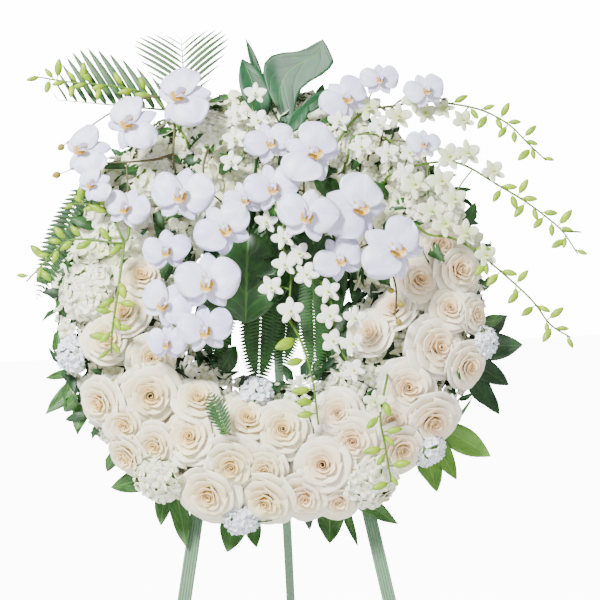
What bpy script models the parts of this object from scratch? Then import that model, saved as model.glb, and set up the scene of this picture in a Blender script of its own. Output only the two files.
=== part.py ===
"""Funeral wreath of white roses, orchids and leaves on a folding wooden easel.

World frame: +Z up, the wreath's face looks towards -Y. The wreath and the two front
legs are laid out in the wreath's own frame, an empty at the ring's centre: its X runs
to the right, its Y up the leaning face, its Z out of the face towards the viewer.
Places in the flower tables are as they show from the front, in millimetres from the
ring's centre. Everything else is in metres.
"""
import math

import bmesh
import bpy
from mathutils import Matrix, Quaternion, Vector

MM = 0.001
GAP = 0.0004                        # left between two pieces that touch on the real one
CRUMB = 24                          # loose scraps of a cut have fewer vertices than this

# The easel
LEAN = math.radians(12)             # the face and the front legs lean back by this
RING_HEIGHT = 1.0                   # ring centre above the floor
RING_X = -0.0577                    # sets the whole object's box over the origin
RING_Y = -0.189
EASEL_X = 0.006                     # the easel's middle line, right of the ring's centre
APEX_V = 0.356                      # top of the legs, up the face from the ring's centre
LEG_WIDTH = 0.021
LEG_DEPTH = 0.019
LEG_SPLAY = 0.18                    # sideways run of a front leg for each metre down
LEG_TOP_X = 0.013
REAR_WIDTH = 0.016
REAR_DEPTH = 0.018
REAR_ANGLE = math.radians(20)       # the rear leg stands this far back of upright
REAR_TOP = 0.005                    # its end, past the pin
BLOCK_HALF = 0.030                  # head block: half its width, its ends and its thickness
BLOCK_FROM_V = 0.300
BLOCK_TO_V = 0.366
BLOCK_DEPTH = 0.014
RAIL_V = -0.640                     # cross rail: its middle, half its height, thickness, overhang
RAIL_HALF = 0.014
RAIL_DEPTH = 0.010
RAIL_PAST = 0.016
FORK_WALL = 0.002                   # hinge fork: sheet, half its height, reach past the pin
FORK_HALF = 0.011
FORK_PAST = 0.009
PIVOT_W = -0.047                    # hinge pin, behind the face
PIVOT_V = 0.322
PIN_RADIUS = 0.003
PIN_PAST = 0.004                    # the pin's end, past the leg's side
FORK_PLAY = 0.0006                  # room round the pin in the fork and in the leg
LEG_PLAY = 0.0003

# The ring
RING_MID = 0.240                    # middle radius of the foam
FOAM_HALF = 0.075                   # half of its width
FOAM_TOP = 0.085
TRAY_WALL = 0.002
TRAY_RIM = 0.020
TAB_HALF = 0.014                    # the tray's tab: half its width, and its end past the screw
TAB_PAST = 0.012
SCREW_V = 0.336
SCREW_HOLE = 0.0024
SCREW_RADIUS = 0.0019
SCREW_HEAD = 0.0048
TIE_V = -0.235
TIE_RADIUS = 0.0012
TIE_CLEAR = 0.0035                  # from a tie's wire to the leg that it goes round
NEST_RADIAL = 0.125                 # flower heads sit on an ellipse round the foam
NEST_OUT = 0.066
NEST_BASE = 0.045
STEM_REACH = 0.066                  # a head's stem runs this far back from the head
STEM_RADIUS = 0.0022
SMALL_BLOOM = 0.085                 # moth orchids below this width have a simpler outline
HEAD_SQUASH = 0.46                  # a floret head's height for its radius
RING_STEPS = 20

# The green
BLADE = 0.0012                      # thickness of a leaf or frond
LEAF_STEM = 0.0024
FERN_STEM = 0.0016
FERN_STALK = 0.0019
TOP_LEAF_W = 112                    # height of the top leaf's base over the face, in mm
TOP_LEAF_BACK = 0.10                # it leans back by this much of its height
TOP_LEAF_CUP = 0.16                 # its margins rise from the midrib by this slope
TWIG_W = 0.031                      # a rim twig comes out of the foam's side at this height
TWIG_DEEP = 0.030                   # and starts this deep in it
TWIG_OUT = 0.018                    # it forks this far out of the foam, at the second height
TWIG_FORK_W = 0.008
TWIG_PITCH = 0.016                  # from one leaf's base to the next along the fork
STEMS_PER_NODE = 1                  # a node's other heads are carried by their neighbours
PRESSED = 1.12                      # heads nearer than this much of their radii press together
MOTH_FACING = (0.6, 0.5, 0.05)      # a bloom's spread across and up the face, and its droop
SMALL_FACING = (0.8, 0.6, 0.1)
VIEW = Vector((0.050, -0.533, 2.545))   # the place the positions below were judged from
VIEW_TURN = math.radians(2.6)       # and how far that view was turned


def clear_scene():
    for item in list(bpy.data.objects):
        bpy.data.objects.remove(item, do_unlink=True)


def material(name, colour, roughness):
    made = bpy.data.materials.new(name)
    made.use_nodes = True
    shader = made.node_tree.nodes["Principled BSDF"]
    shader.inputs["Base Color"].default_value = (*colour, 1.0)
    shader.inputs["Roughness"].default_value = roughness
    shader.inputs["Metallic"].default_value = 0.0
    return made


clear_scene()
model = bpy.data.collections.new("funeral_wreath")
work = bpy.data.collections.new("work")
bpy.context.scene.collection.children.link(model)
bpy.context.scene.collection.children.link(work)

ring_frame = bpy.data.objects.new("ring_frame", None)
model.objects.link(ring_frame)
ring_frame.location = (RING_X, RING_Y, RING_HEIGHT)
ring_frame.rotation_euler = (math.pi / 2 - LEAN, 0, 0)
ring_matrix = Matrix.Translation(ring_frame.location) @ ring_frame.rotation_euler.to_matrix().to_4x4()

PAINTED_WOOD = material("painted_wood", (0.30, 0.46, 0.33), 0.6)
STEEL = material("steel", (0.45, 0.46, 0.47), 0.35)
STEEL.node_tree.nodes["Principled BSDF"].inputs["Metallic"].default_value = 1.0
TRAY = material("tray_plastic", (0.80, 0.79, 0.74), 0.5)
FOAM = material("floral_foam", (0.10, 0.22, 0.10), 0.9)
ROSE = material("rose_petal", (0.85, 0.80, 0.70), 0.6)
FLORET = material("floret", (0.84, 0.85, 0.76), 0.6)
ORCHID = material("orchid_petal", (0.86, 0.86, 0.92), 0.5)
BUD = material("orchid_bud", (0.55, 0.62, 0.22), 0.5)
LEAF = material("leaf", (0.10, 0.25, 0.09), 0.5)


# Mesh helpers: every piece below is a closed mesh, and a node is their Boolean union.

def new_object(name, mesh, collection=work):
    made = bpy.data.objects.new(name, mesh)
    collection.objects.link(made)
    return made


def evaluated(item):
    """A plain mesh of what the object's modifiers or curve settings make."""
    graph = bpy.context.evaluated_depsgraph_get()
    mesh = bpy.data.meshes.new_from_object(item.evaluated_get(graph))
    weld = bmesh.new()
    weld.from_mesh(mesh)
    bmesh.ops.remove_doubles(weld, verts=weld.verts, dist=1e-6)
    bmesh.ops.triangulate(weld, faces=weld.faces)
    bmesh.ops.recalc_face_normals(weld, faces=weld.faces)
    weld.to_mesh(mesh)
    weld.free()
    return mesh


def discard(item):
    data = item.data
    bpy.data.objects.remove(item, do_unlink=True)
    if isinstance(data, bpy.types.Mesh):
        bpy.data.meshes.remove(data)
    elif isinstance(data, bpy.types.Curve):
        bpy.data.curves.remove(data)


def loft(rings, matrix=None, ends=(None, None)):
    """A closed mesh through rings of equal count; an end is flat, or runs to a given point."""
    mesh = bmesh.new()
    rows = [[mesh.verts.new(p) for p in ring] for ring in rings]
    count = len(rows[0])
    for low, high in zip(rows, rows[1:]):
        for i in range(count):
            j = (i + 1) % count
            mesh.faces.new((low[i], low[j], high[j], high[i]))
    for row, end in ((rows[0][::-1], ends[0]), (rows[-1], ends[1])):
        if end is None:
            mesh.faces.new(row)
        else:
            point = mesh.verts.new(end)
            for i in range(count):
                mesh.faces.new((row[i], row[(i + 1) % count], point))
    bmesh.ops.triangulate(mesh, faces=mesh.faces)
    bmesh.ops.recalc_face_normals(mesh, faces=mesh.faces)
    if matrix:
        bmesh.ops.transform(mesh, matrix=matrix, verts=mesh.verts)
    out = bpy.data.meshes.new("loft")
    mesh.to_mesh(out)
    mesh.free()
    return out


def blade(outline, thickness, shape=None, matrix=None):
    """A flat outline given thickness; shape(x, y) then lifts each point off the plane."""
    curve = bpy.data.curves.new("blade", "CURVE")
    curve.dimensions = "2D"
    curve.fill_mode = "BOTH"
    curve.extrude = thickness / 2
    spline = curve.splines.new("POLY")
    spline.points.add(len(outline) - 1)
    for point, (x, y) in zip(spline.points, outline):
        point.co = (x, y, 0, 1)
    spline.use_cyclic_u = True
    flat = new_object("blade", curve)
    mesh = evaluated(flat)
    discard(flat)
    if shape:
        for vertex in mesh.vertices:
            vertex.co.z += shape(vertex.co.x, vertex.co.y)
    if matrix:
        mesh.transform(matrix)
    return mesh


def stitch(mesh, outer, inner):
    """Triangles between two rings of unequal count, both counter-clockwise round one middle."""
    def turns(ring):
        found = [math.atan2(v.co.y, v.co.x) for v in ring]
        return [math.remainder(angle - found[0], 2 * math.pi) % (2 * math.pi) for angle in found]

    start = math.atan2(outer[0].co.y, outer[0].co.x)
    gaps = [abs(math.remainder(math.atan2(v.co.y, v.co.x) - start, 2 * math.pi)) for v in inner]
    first = gaps.index(min(gaps))
    inner = inner[first:] + inner[:first]
    outer_turns, inner_turns = turns(outer) + [2 * math.pi], turns(inner) + [2 * math.pi]
    i = j = 0
    while i < len(outer) or j < len(inner):
        here, there = outer[i % len(outer)], inner[j % len(inner)]
        if j == len(inner) or (i < len(outer) and outer_turns[i + 1] <= inner_turns[j + 1]):
            i += 1
            mesh.faces.new((here, outer[i % len(outer)], there))
        else:
            j += 1
            mesh.faces.new((here, inner[j % len(inner)], there))


def flower(outline, thickness, shape, matrix, seat, neck, lip=()):
    """Petals as one dished plate, with the stalk drawn out of its back to the seat.

    The lip, where there is one, is a list of rings that rise from the plate's front.
    """
    mesh = bmesh.new()

    def ring(points):
        return [mesh.verts.new(point) for point in points]

    def join(low, high):
        for k in range(len(low)):
            n = (k + 1) % len(low)
            mesh.faces.new((low[k], low[n], high[n], high[k]))

    back = ring((x, y, shape(x, y) - thickness / 2) for x, y in outline)
    front = ring((x, y, shape(x, y) + thickness / 2) for x, y in outline)
    join(back, front)
    corners = [(neck * math.cos(a), neck * math.sin(a)) for a in (0.5, 0.5 + math.tau / 3, 0.5 + 2 * math.tau / 3)]
    collar = ring((x, y, -thickness / 2) for x, y in corners)
    stitch(mesh, back, collar)
    foot_at = matrix.inverted() @ seat
    foot = ring((foot_at.x + x, foot_at.y + y, foot_at.z) for x, y in corners)
    join(collar, foot)
    mesh.faces.new(foot)
    if lip:
        rows = [ring(points) for points in lip]
        stitch(mesh, front, rows[0])
        for low, high in zip(rows, rows[1:]):
            join(low, high)
        mesh.faces.new(rows[-1])
    else:
        middle = mesh.verts.new((0, 0, thickness / 2))
        for k in range(len(front)):
            mesh.faces.new((front[k], front[(k + 1) % len(front)], middle))
    bmesh.ops.triangulate(mesh, faces=mesh.faces)
    bmesh.ops.recalc_face_normals(mesh, faces=mesh.faces)
    bmesh.ops.transform(mesh, matrix=matrix, verts=mesh.verts)
    out = bpy.data.meshes.new("flower")
    mesh.to_mesh(out)
    mesh.free()
    return out


def tube(points, radius, resolution=0):
    """A round or four-sided stem, wire or rod along a list of points."""
    curve = bpy.data.curves.new("tube", "CURVE")
    curve.dimensions = "3D"
    curve.bevel_depth = radius
    curve.bevel_resolution = resolution
    curve.use_fill_caps = True
    spline = curve.splines.new("POLY")
    spline.points.add(len(points) - 1)
    for point, place in zip(spline.points, points):
        point.co = (*place, 1)
    line = new_object("tube", curve)
    mesh = evaluated(line)
    discard(line)
    return mesh


def box(low, high):
    mesh = bmesh.new()
    bmesh.ops.create_cube(mesh, size=1)
    size = Vector(high) - Vector(low)
    bmesh.ops.transform(
        mesh,
        matrix=Matrix.Translation((Vector(high) + Vector(low)) / 2) @ Matrix.Diagonal((*size, 1)),
        verts=mesh.verts,
    )
    out = bpy.data.meshes.new("box")
    mesh.to_mesh(out)
    mesh.free()
    return out


def largest_body(mesh):
    """Keep the largest closed body of a cut mesh and drop the crumbs."""
    work_mesh = bmesh.new()
    work_mesh.from_mesh(mesh)
    left = set(work_mesh.verts)
    bodies = []
    while left:
        queue = [left.pop()]
        body = set(queue)
        while queue:
            for edge in queue.pop().link_edges:
                for vertex in edge.verts:
                    if vertex in left:
                        left.discard(vertex)
                        body.add(vertex)
                        queue.append(vertex)
        bodies.append(body)
    bodies.sort(key=len)
    crumbs = [v for body in bodies[:-1] if len(body) < CRUMB for v in body]
    bmesh.ops.delete(work_mesh, geom=crumbs, context="VERTS")
    work_mesh.to_mesh(mesh)
    work_mesh.free()
    return mesh


def combine(first, others, operation="UNION"):
    """Boolean of one mesh with a list of meshes, all closed; the inputs are used up."""
    if not others:
        return first
    group = bpy.data.collections.new("operands")
    bpy.context.scene.collection.children.link(group)
    base = new_object("base", first)
    for mesh in others:
        new_object("operand", mesh, group).hide_render = True
    step = base.modifiers.new("combine", "BOOLEAN")
    step.operation = operation
    step.operand_type = "COLLECTION"
    step.collection = group
    step.solver = "MANIFOLD"
    result = evaluated(base)
    for item in list(group.objects):
        discard(item)
    discard(base)
    bpy.data.collections.remove(group)
    return largest_body(result)


def finish(name, mesh, paint, parent=ring_frame):
    """Name a finished solid, give it its material and place it under its parent."""
    mesh.materials.clear()
    mesh.materials.append(paint)
    mesh.name = name
    made = new_object(name, mesh, model)
    made.parent = parent
    return made


def aim(place, out, turn=0.0):
    """The matrix that stands a shape's Z along out at place, turned about it."""
    spin = Quaternion((0, 0, 1), turn)
    return Matrix.Translation(place) @ (Vector(out).to_track_quat("Z", "Y") @ spin).to_matrix().to_4x4()


def face(place, out, turn=0.0):
    """The matrix that stands a bloom's Z along out with its top up in view, then turns it."""
    across = Vector((math.sin(VIEW_TURN), math.cos(VIEW_TURN), 0)).cross(out).normalized()
    stand = Matrix((across, out.cross(across), out)).transposed().to_4x4()
    return Matrix.Translation(place) @ stand @ Matrix.Rotation(turn, 4, "Z")


def upright(x, y):
    """A place in the turned view as metres right of and up from the ring's centre."""
    return Matrix.Rotation(-VIEW_TURN, 2) @ Vector((x, y)) * MM


def sight(x, y, w):
    """The point at height w over the face that shows at (x, y) in view; millimetres in."""
    seen = upright(x, y)
    base = Vector((seen.x, seen.y * math.cos(LEAN), seen.y * math.sin(LEAN)))
    return base + (VIEW - base) * ((w * MM - base.z) / (VIEW.z - base.z))


def nearest(points, place):
    """The point of a route that lies closest to a place."""
    best = None
    for a, b in zip(points, points[1:]):
        run = b - a
        share = max(0.0, min(1.0, (place - a).dot(run) / run.length_squared))
        spot = a + run * share
        if best is None or (spot - place).length < (best - place).length:
            best = spot
    return best


# Every stem that stands in the foam leaves a prism here, which drills its plain hole.
drills = []


def drill(low, high, radius):
    drills.append((Vector(low), Vector(high), radius + GAP))


def drill_mesh(low, high, radius):
    reach = (low - high).normalized() * 2 * GAP
    return tube([low + reach, high], radius * math.sqrt(2))


def root(x, y, radius=STEM_RADIUS, top=0.142):
    """A stem's start, straight up out of the foam at (x, y) on the face."""
    low = Vector((*upright(x, y), FOAM_TOP - 0.030))
    high = Vector((low.x, low.y, top))
    drill(low, high, radius)
    return [low, high]


def nest(x, y):
    """Place and direction of a flower head that sits round the foam at (x, y) in view."""
    w = 100.0
    for _ in range(5):
        spot = sight(x, y, w)
        across = math.hypot(spot.x, spot.y)
        tilt = math.asin(max(-0.95, min(0.95, (across - RING_MID) / NEST_RADIAL)))
        w = (NEST_BASE + NEST_OUT * math.cos(tilt)) / MM
    round_angle = math.atan2(spot.y, spot.x)
    radial = Vector((math.cos(round_angle), math.sin(round_angle), 0))
    centre = radial * (RING_MID + NEST_RADIAL * math.sin(tilt)) + Vector((0, 0, w * MM))
    return centre, radial * math.sin(tilt) + Vector((0, 0, math.cos(tilt)))


# Flower and leaf shapes, each in its own frame with Z out of the flower.

def rose_head(radius):
    """A rose as one stepped skin: three tiers of lobed petals round a wound heart."""
    sectors = 8
    lobes = 4
    tiers = (
        # radius, height, depth of the lobes, turn of the lobes
        (1.00, 0.04, 0.11, 0.0),
        (0.76, 0.10, 0.05, 0.0),
        (0.72, 0.34, 0.10, 1.0),
        (0.48, 0.22, 0.05, 1.0),
        (0.42, 0.46, 0.12, 0.0),
    )
    rings = []
    for size, height, lobe, shift in tiers:
        ring = []
        for i in range(sectors):
            angle = 2 * math.pi * i / sectors
            wave = math.cos(lobes * angle + math.pi * shift)
            reach = radius * size * (1 - lobe + lobe * wave)
            wound = 0.08 * radius * (i / sectors) * (1 if height > 0.4 else 0)
            ring.append((
                reach * math.cos(angle),
                reach * math.sin(angle),
                radius * (height - 0.04 * wave) + wound,
            ))
        rings.append(ring)
    return rings, ((0, 0, -min(0.55 * radius, 0.020)), (0, 0, 0.30 * radius))


def star(tips, inner, outer, turn=0.0):
    """Outline of a small flower with pointed petals."""
    points = []
    for i in range(tips):
        middle = turn + 2 * math.pi * i / tips
        notch = middle - math.pi / tips
        points.append((inner * math.cos(notch), inner * math.sin(notch)))
        points.append((outer * math.cos(middle), outer * math.sin(middle)))
    return points


def moth_outline(width):
    """Outline of a moth orchid: two broad petals, one top and two lower sepals."""
    right = [
        (75, 0.50), (58, 0.22), (46, 0.44), (14, 0.56), (-23, 0.46),
        (-36, 0.20), (-52, 0.47), (-68, 0.45),
    ]
    if width < SMALL_BLOOM:
        right = [(80, 0.50), (56, 0.24), (26, 0.55), (-16, 0.52), (-38, 0.22), (-60, 0.48)]
    polar = right + [(-90, 0.15)] + [(180 - a, r) for a, r in reversed(right)]
    return [
        (width * r * math.cos(math.radians(a)), width * r * math.sin(math.radians(a)))
        for a, r in reversed(polar)
    ]


def moth_orchid(place, out, width, turn, seat):
    """One moth orchid bloom: a dished plate of petals with the lip standing in the middle."""
    lip = []
    for size, drop, height in ((0.55, 0.02, 0.008), (1.20, 0.05, 0.08), (0.50, 0.09, 0.16)):
        corners = ((0.09, 0.0), (0.0, 0.06), (-0.09, 0.0), (0.0, -0.08))
        lip.append([(width * x * size, width * (y * size - drop), width * height) for x, y in corners])
    return flower(
        moth_outline(width), 0.0016, lambda x, y: 0.28 * (x * x - y * y) / width,
        face(place, out, turn), seat, 0.0019, lip,
    )


def spray_orchid(place, out, width, turn, seat):
    """One small dendrobium bloom: five pointed petals curved forward."""
    return flower(
        star(5, width * 0.20, width * 0.54, math.pi / 2), 0.0014,
        lambda x, y: 0.4 * (x * x + y * y) / width, face(place, out, turn), seat, 0.0013,
    )


def bud(start, tip, radius):
    """A bud with its own short stalk: thin where it leaves the stem, full near its tip."""
    run = tip - start
    stand = aim(start, run)
    fullest = [
        (radius * math.cos(a), radius * math.sin(a), run.length * 0.66)
        for a in (2 * math.pi * i / 4 for i in range(4))
    ]
    return loft([fullest], stand, ((0, 0, -0.001), (0, 0, run.length)))


def stalk(start, end, radius):
    """A short three-sided stalk between a stem and the back of a bloom."""
    run = end - start
    section = [
        (radius * math.cos(a), radius * math.sin(a)) for a in (2 * math.pi * i / 3 for i in range(3))
    ]
    return loft([[(x, y, z) for x, y in section] for z in (0, run.length)], aim(start, run))


def leaf_outline(length, width, points, notch):
    """A pointed leaf along +X from its stalk, with optional notches in the margin."""
    side = []
    for i in range(1, points):
        share = i / points
        reach = width / 2 * math.sin(math.pi * share ** 0.8) * (1 - notch * (i % 2))
        side.append((length * share, reach))
    back = [(x, -y) for x, y in reversed(side)]
    return [(0.0, 0.0015)] + side + [(length, 0.0)] + back + [(0.0, -0.0015)]


def fern_outline(length, width, pairs):
    """A fern frond along +X: a rib with pairs of leaflets that shorten towards the tip."""
    rib = 0.0016
    pitch = length / (pairs + 0.5)
    upper = []
    for i in range(pairs):
        at = pitch * (i + 0.35)
        reach = width / 2 * math.sin(math.pi * (0.22 + 0.74 * i / pairs)) ** 0.8
        upper += [
            (at, rib),
            (at + pitch * 0.52 + 0.10 * reach, reach),
            (at + pitch * 0.66, rib),
        ]
    lower = [(x, -y) for x, y in reversed(upper)]
    return [(0.0, rib)] + upper + [(length, 0.0)] + lower + [(0.0, -rib)]


def palm_outline(length, width, pairs, folded):
    """A palm frond along +X, its leaflets swept to the tip; a folded one shows one row of them."""
    rib = 0.0022
    pitch = length * 0.86 / pairs
    upper = []
    for i in range(pairs):
        at = pitch * (i + 0.3)
        reach = width / 2 * (1 - 0.45 * abs(i / (pairs - 1) - 0.35))
        upper += [
            (at, rib),
            (at + reach * 0.62, reach),
            (at + pitch * 0.58, rib),
        ]
    lower = [(x, -y) for x, y in reversed(upper)]
    return [(0.0, rib)] + ([] if folded else upper) + [(length, 0.0)] + lower + [(0.0, -rib)]


def lay(base, tip, roll=0.0):
    """The matrix that lays a leaf's +X from base to tip, its face turned to the viewer."""
    along = (tip - base).normalized()
    across = Vector((0, 0, 1)).cross(along).normalized()
    turned = Matrix((along, across, along.cross(across))).transposed().to_4x4()
    return Matrix.Translation(base) @ turned @ Matrix.Rotation(roll, 4, "X")


def leaf(base, tip, width, points, arch, notch=0.0, roll=0.0):
    length = (tip - base).length
    return blade(
        leaf_outline(length, width, points, notch), BLADE,
        lambda x, y: arch * length * math.sin(math.pi * x / length) + 0.20 * abs(y),
        lay(base, tip, roll),
    )


# The easel: two front legs, rear leg, head block, cross rail and the hinge.

def leg_section(width, depth, reeds):
    """Outline of a leg: a flat back, and reeds run down its front."""
    half = width / 2
    points = [(-half, -depth), (half, -depth), (half, -depth * 0.15)]
    for i in range(reeds):
        middle = half - width * (i + 0.5) / reeds
        points += [(middle + width * 0.3 / reeds, 0.0), (middle - width * 0.3 / reeds, 0.0)]
        if i < reeds - 1:
            points.append((middle - width * 0.5 / reeds, -depth * 0.12))
    return points + [(-half, -depth * 0.15)]


def leg(top, foot, width, depth, reeds):
    """A straight leg with its front to the face, from above its top to below its foot."""
    run = foot - top
    stand = Matrix((Vector((0, 0, 1)).cross(run.normalized()), Vector((0, 0, 1)), run.normalized()))
    stand = Matrix.Translation(top) @ stand.transposed().to_4x4()
    section = leg_section(width, depth, reeds)
    return loft([[(x, y, z) for x, y in section] for z in (0.0, run.length)], stand)


def floor_cut():
    """A block from the floor down, in the ring's frame, that trims the legs' feet level."""
    mesh = box((-1, -1, -0.5), (1, 1, 0))
    mesh.transform(ring_matrix.inverted())
    return mesh


foot_v = -RING_HEIGHT / math.cos(LEAN) - 0.05

for side, hand in (("left", -1), ("right", 1)):
    top = Vector((EASEL_X + hand * LEG_TOP_X, APEX_V, -GAP))
    foot = Vector((EASEL_X + hand * (LEG_TOP_X + LEG_SPLAY * (APEX_V - foot_v)), foot_v, -GAP))
    solid = combine(leg(top, foot, LEG_WIDTH, LEG_DEPTH, 3), [floor_cut()], "DIFFERENCE")
    finish(f"front_leg_{side}", solid, PAINTED_WOOD)

leg_back = -GAP - LEG_DEPTH
block_low = Vector((EASEL_X - BLOCK_HALF, BLOCK_FROM_V, leg_back - GAP - BLOCK_DEPTH))
block_high = Vector((EASEL_X + BLOCK_HALF, BLOCK_TO_V, leg_back - GAP))
finish("head_block", box(block_low, block_high), PAINTED_WOOD)

rail_end = LEG_TOP_X + LEG_SPLAY * (APEX_V - RAIL_V) + RAIL_PAST
finish("cross_rail", box(
    (EASEL_X - rail_end, RAIL_V - RAIL_HALF, leg_back - GAP - RAIL_DEPTH),
    (EASEL_X + rail_end, RAIL_V + RAIL_HALF, leg_back - GAP),
), PAINTED_WOOD)

# The hinge: a steel fork screwed to the block's back, and a pin through the rear leg.
fork_back = block_low.z - GAP
fork_out = PIVOT_W - FORK_PAST
cheek = REAR_WIDTH / 2 + GAP
fork = combine(box(
    (EASEL_X - cheek - FORK_WALL, PIVOT_V - FORK_HALF, fork_out),
    (EASEL_X + cheek + FORK_WALL, PIVOT_V + FORK_HALF, fork_back),
), [box(
    (EASEL_X - cheek, PIVOT_V - 2 * FORK_HALF, fork_out - FORK_PAST),
    (EASEL_X + cheek, PIVOT_V + 2 * FORK_HALF, fork_back - FORK_WALL),
)], "DIFFERENCE")
pin_line = [Vector((EASEL_X + hand * (cheek + PIN_PAST), PIVOT_V, PIVOT_W)) for hand in (-1, 1)]
pin_hole = [Vector((EASEL_X + hand * 4 * cheek, PIVOT_V, PIVOT_W)) for hand in (-1, 1)]
fork = combine(fork, [tube(pin_hole, PIN_RADIUS + FORK_PLAY, 1)], "DIFFERENCE")
finish("hinge_fork", fork, STEEL)
finish("hinge_pin", tube(pin_line, PIN_RADIUS, 2), STEEL)

# The rear leg hangs from the pin, so its object stands on the pin's line in the world.
pin_world = ring_matrix @ Vector((EASEL_X, PIVOT_V, PIVOT_W))
hinge = bpy.data.objects.new("rear_leg_hinge", None)
model.objects.link(hinge)
hinge.location = pin_world
rear_axis = Vector((0, math.sin(REAR_ANGLE), -math.cos(REAR_ANGLE)))
rear = box(
    (-REAR_WIDTH / 2, -REAR_DEPTH / 2, -REAR_TOP),
    (REAR_WIDTH / 2, REAR_DEPTH / 2, 1.6),
)
rear.transform(rear_axis.to_track_quat("Z", "X").to_matrix().to_4x4() @ Matrix.Rotation(math.pi / 2, 4, "Z"))
rear_floor = box((-1, -1, -0.8), (1, 1, 0))
rear_floor.transform(Matrix.Translation(-pin_world))
rear = combine(rear, [
    rear_floor,
    tube([Vector((-4 * cheek, 0, 0)), Vector((4 * cheek, 0, 0))], PIN_RADIUS + LEG_PLAY, 2),
], "DIFFERENCE")
finish("rear_leg", rear, PAINTED_WOOD, hinge)


# The tray: a shallow turned plastic ring, with a tab at its top that the screw holds.

def turned(profile, steps):
    """A ring turned about Z from a closed profile of (radius, height) points."""
    mesh = bpy.data.meshes.new("profile")
    count = len(profile)
    mesh.from_pydata([(r, 0, z) for r, z in profile], [(i, (i + 1) % count) for i in range(count)], [])
    line = new_object("profile", mesh)
    screw = line.modifiers.new("turn", "SCREW")
    screw.steps = steps
    screw.render_steps = steps
    screw.use_merge_vertices = True
    screw.merge_threshold = 0.0001
    result = evaluated(line)
    discard(line)
    return result


foam_in, foam_out = RING_MID - FOAM_HALF, RING_MID + FOAM_HALF
lip_in, lip_out = foam_in - GAP, foam_out + GAP
tray = turned([
    (lip_out + TRAY_WALL, 0.0), (lip_out + TRAY_WALL, TRAY_RIM), (lip_out, TRAY_RIM),
    (lip_out, TRAY_WALL), (lip_in, TRAY_WALL), (lip_in, TRAY_RIM),
    (lip_in - TRAY_WALL, TRAY_RIM), (lip_in - TRAY_WALL, 0.0),
], RING_STEPS)
tab = box(
    (EASEL_X - TAB_HALF, foam_out - TAB_PAST, 0.0),
    (EASEL_X + TAB_HALF, SCREW_V + TAB_PAST, TRAY_WALL),
)
screw_line = [Vector((EASEL_X, SCREW_V, w)) for w in (-TRAY_RIM, TRAY_RIM)]
tray = combine(combine(tray, [tab]), [tube(screw_line, SCREW_HOLE, 1)], "DIFFERENCE")


def tie_points(hand):
    """Where a wire tie enters the tray's back on each side of a front leg."""
    middle = EASEL_X + hand * (LEG_TOP_X + LEG_SPLAY * (APEX_V - TIE_V))
    clear = LEG_WIDTH / 2 + TIE_CLEAR
    return [Vector((middle + side * clear, TIE_V, 0)) for side in (-1, 1)]


tie_holes = []
for hand in (-1, 1):
    for spot in tie_points(hand):
        through = Vector((0, 0, TRAY_RIM / 2))
        tie_holes.append(tube([spot - through, spot + through], 2 * TIE_RADIUS))
tray = combine(tray, tie_holes, "DIFFERENCE")
finish("base_tray", tray, TRAY)

# A screw through the tab into the block, and a wire tie round each leg at the bottom.
hanging_screw = combine(
    tube([Vector((EASEL_X, SCREW_V, w)) for w in (leg_back, 0.006)], SCREW_RADIUS, 1),
    [tube([Vector((EASEL_X, SCREW_V, w)) for w in (TRAY_WALL + GAP, 0.005)], SCREW_HEAD, 1)],
)
finish("hanging_screw", hanging_screw, STEEL)
for side, hand in (("left", -1), ("right", 1)):
    ends = tie_points(hand)
    depth = Vector((0, 0, leg_back - TIE_CLEAR))
    rise = Vector((0, 0, TRAY_WALL - GAP / 2))
    finish(f"wire_tie_{side}", tube(
        [ends[0] + rise, ends[0] + depth, ends[1] + depth, ends[1] + rise], TIE_RADIUS, 1,
    ), STEEL)


# Roses: each row is (x, y, radius) of a head; the heads of a node touch one another.
ROSES = {
    "roses_left_high": [(-214, 46, 37), (-240, -12, 40), (-269, -57, 38)],
    "roses_left_mid": [(-197, -147, 47), (-197, -88, 38), (-238, -194, 34), (-276, -158, 40)],
    "roses_left_low": [(-130, -218, 43), (-120, -156, 37), (-188, -228, 36), (-232, -246, 36)],
    "roses_bottom_left": [(-64, -261, 46), (-4, -318, 43), (-98, -308, 46), (-8, -268, 34)],
    "roses_bottom_inner": [(20, -206, 43), (-38, -190, 41)],
    "roses_bottom_right": [(88, -262, 48), (58, -312, 40), (112, -316, 37), (138, -220, 42),
                           (112, -178, 38)],
    "roses_right_low": [(214, -233, 42), (202, -187, 36), (225, -136, 45), (266, -186, 45)],
    "roses_right_mid": [(272, -68, 48), (322, -98, 38), (295, -6, 38), (334, -14, 30)],
    "roses_right_high": [(244, 41, 41), (308, 59, 41), (281, 99, 38), (206, -7, 36), (168, -45, 37)],
}

# Hydrangea and stock heads: (x, y, radius) of one rounded head of florets each.
FLORET_HEADS = {
    "hydrangea_left": [(-300, 26, 48)],
    "hydrangea_left_low": [(-185, -285, 42)],
    "hydrangea_bottom_right": [(165, -292, 46)],
    "hydrangea_right_high": [(270, 165, 50), (222, 224, 40)],
    "hydrangea_left_high": [(-240, 135, 49), (-196, 210, 38)],
    "hydrangea_top_left": [(-98, 284, 38), (-30, 282, 38)],
    "hydrangea_top_right": [(150, 270, 40), (88, 261, 35)],
    "stock_left": [(-325, -80, 26)],
    "stock_bottom": [(-48, -352, 26)],
    "stock_inner": [(-22, -144, 24)],
    "stock_right": [(352, -60, 24)],
    "stock_right_low": [(262, -236, 26)],
}


def floret_head(radius):
    """A rounded head whose skin stands up in rows of pointed florets, larger than life."""
    rows, sectors = 4, 8
    rings = []
    for j in range(rows + 1):
        down = math.pi * (0.62 - 0.57 * j / rows)
        ring = []
        for i in range(sectors):
            angle = 2 * math.pi * i / sectors
            lift = radius * (1.0 + 0.12 * (-1) ** (i + j))
            ring.append((
                lift * math.sin(down) * math.cos(angle),
                lift * math.sin(down) * math.sin(angle),
                lift * HEAD_SQUASH * math.cos(down),
            ))
        rings.append(ring)
    return rings, (None, None)


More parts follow.
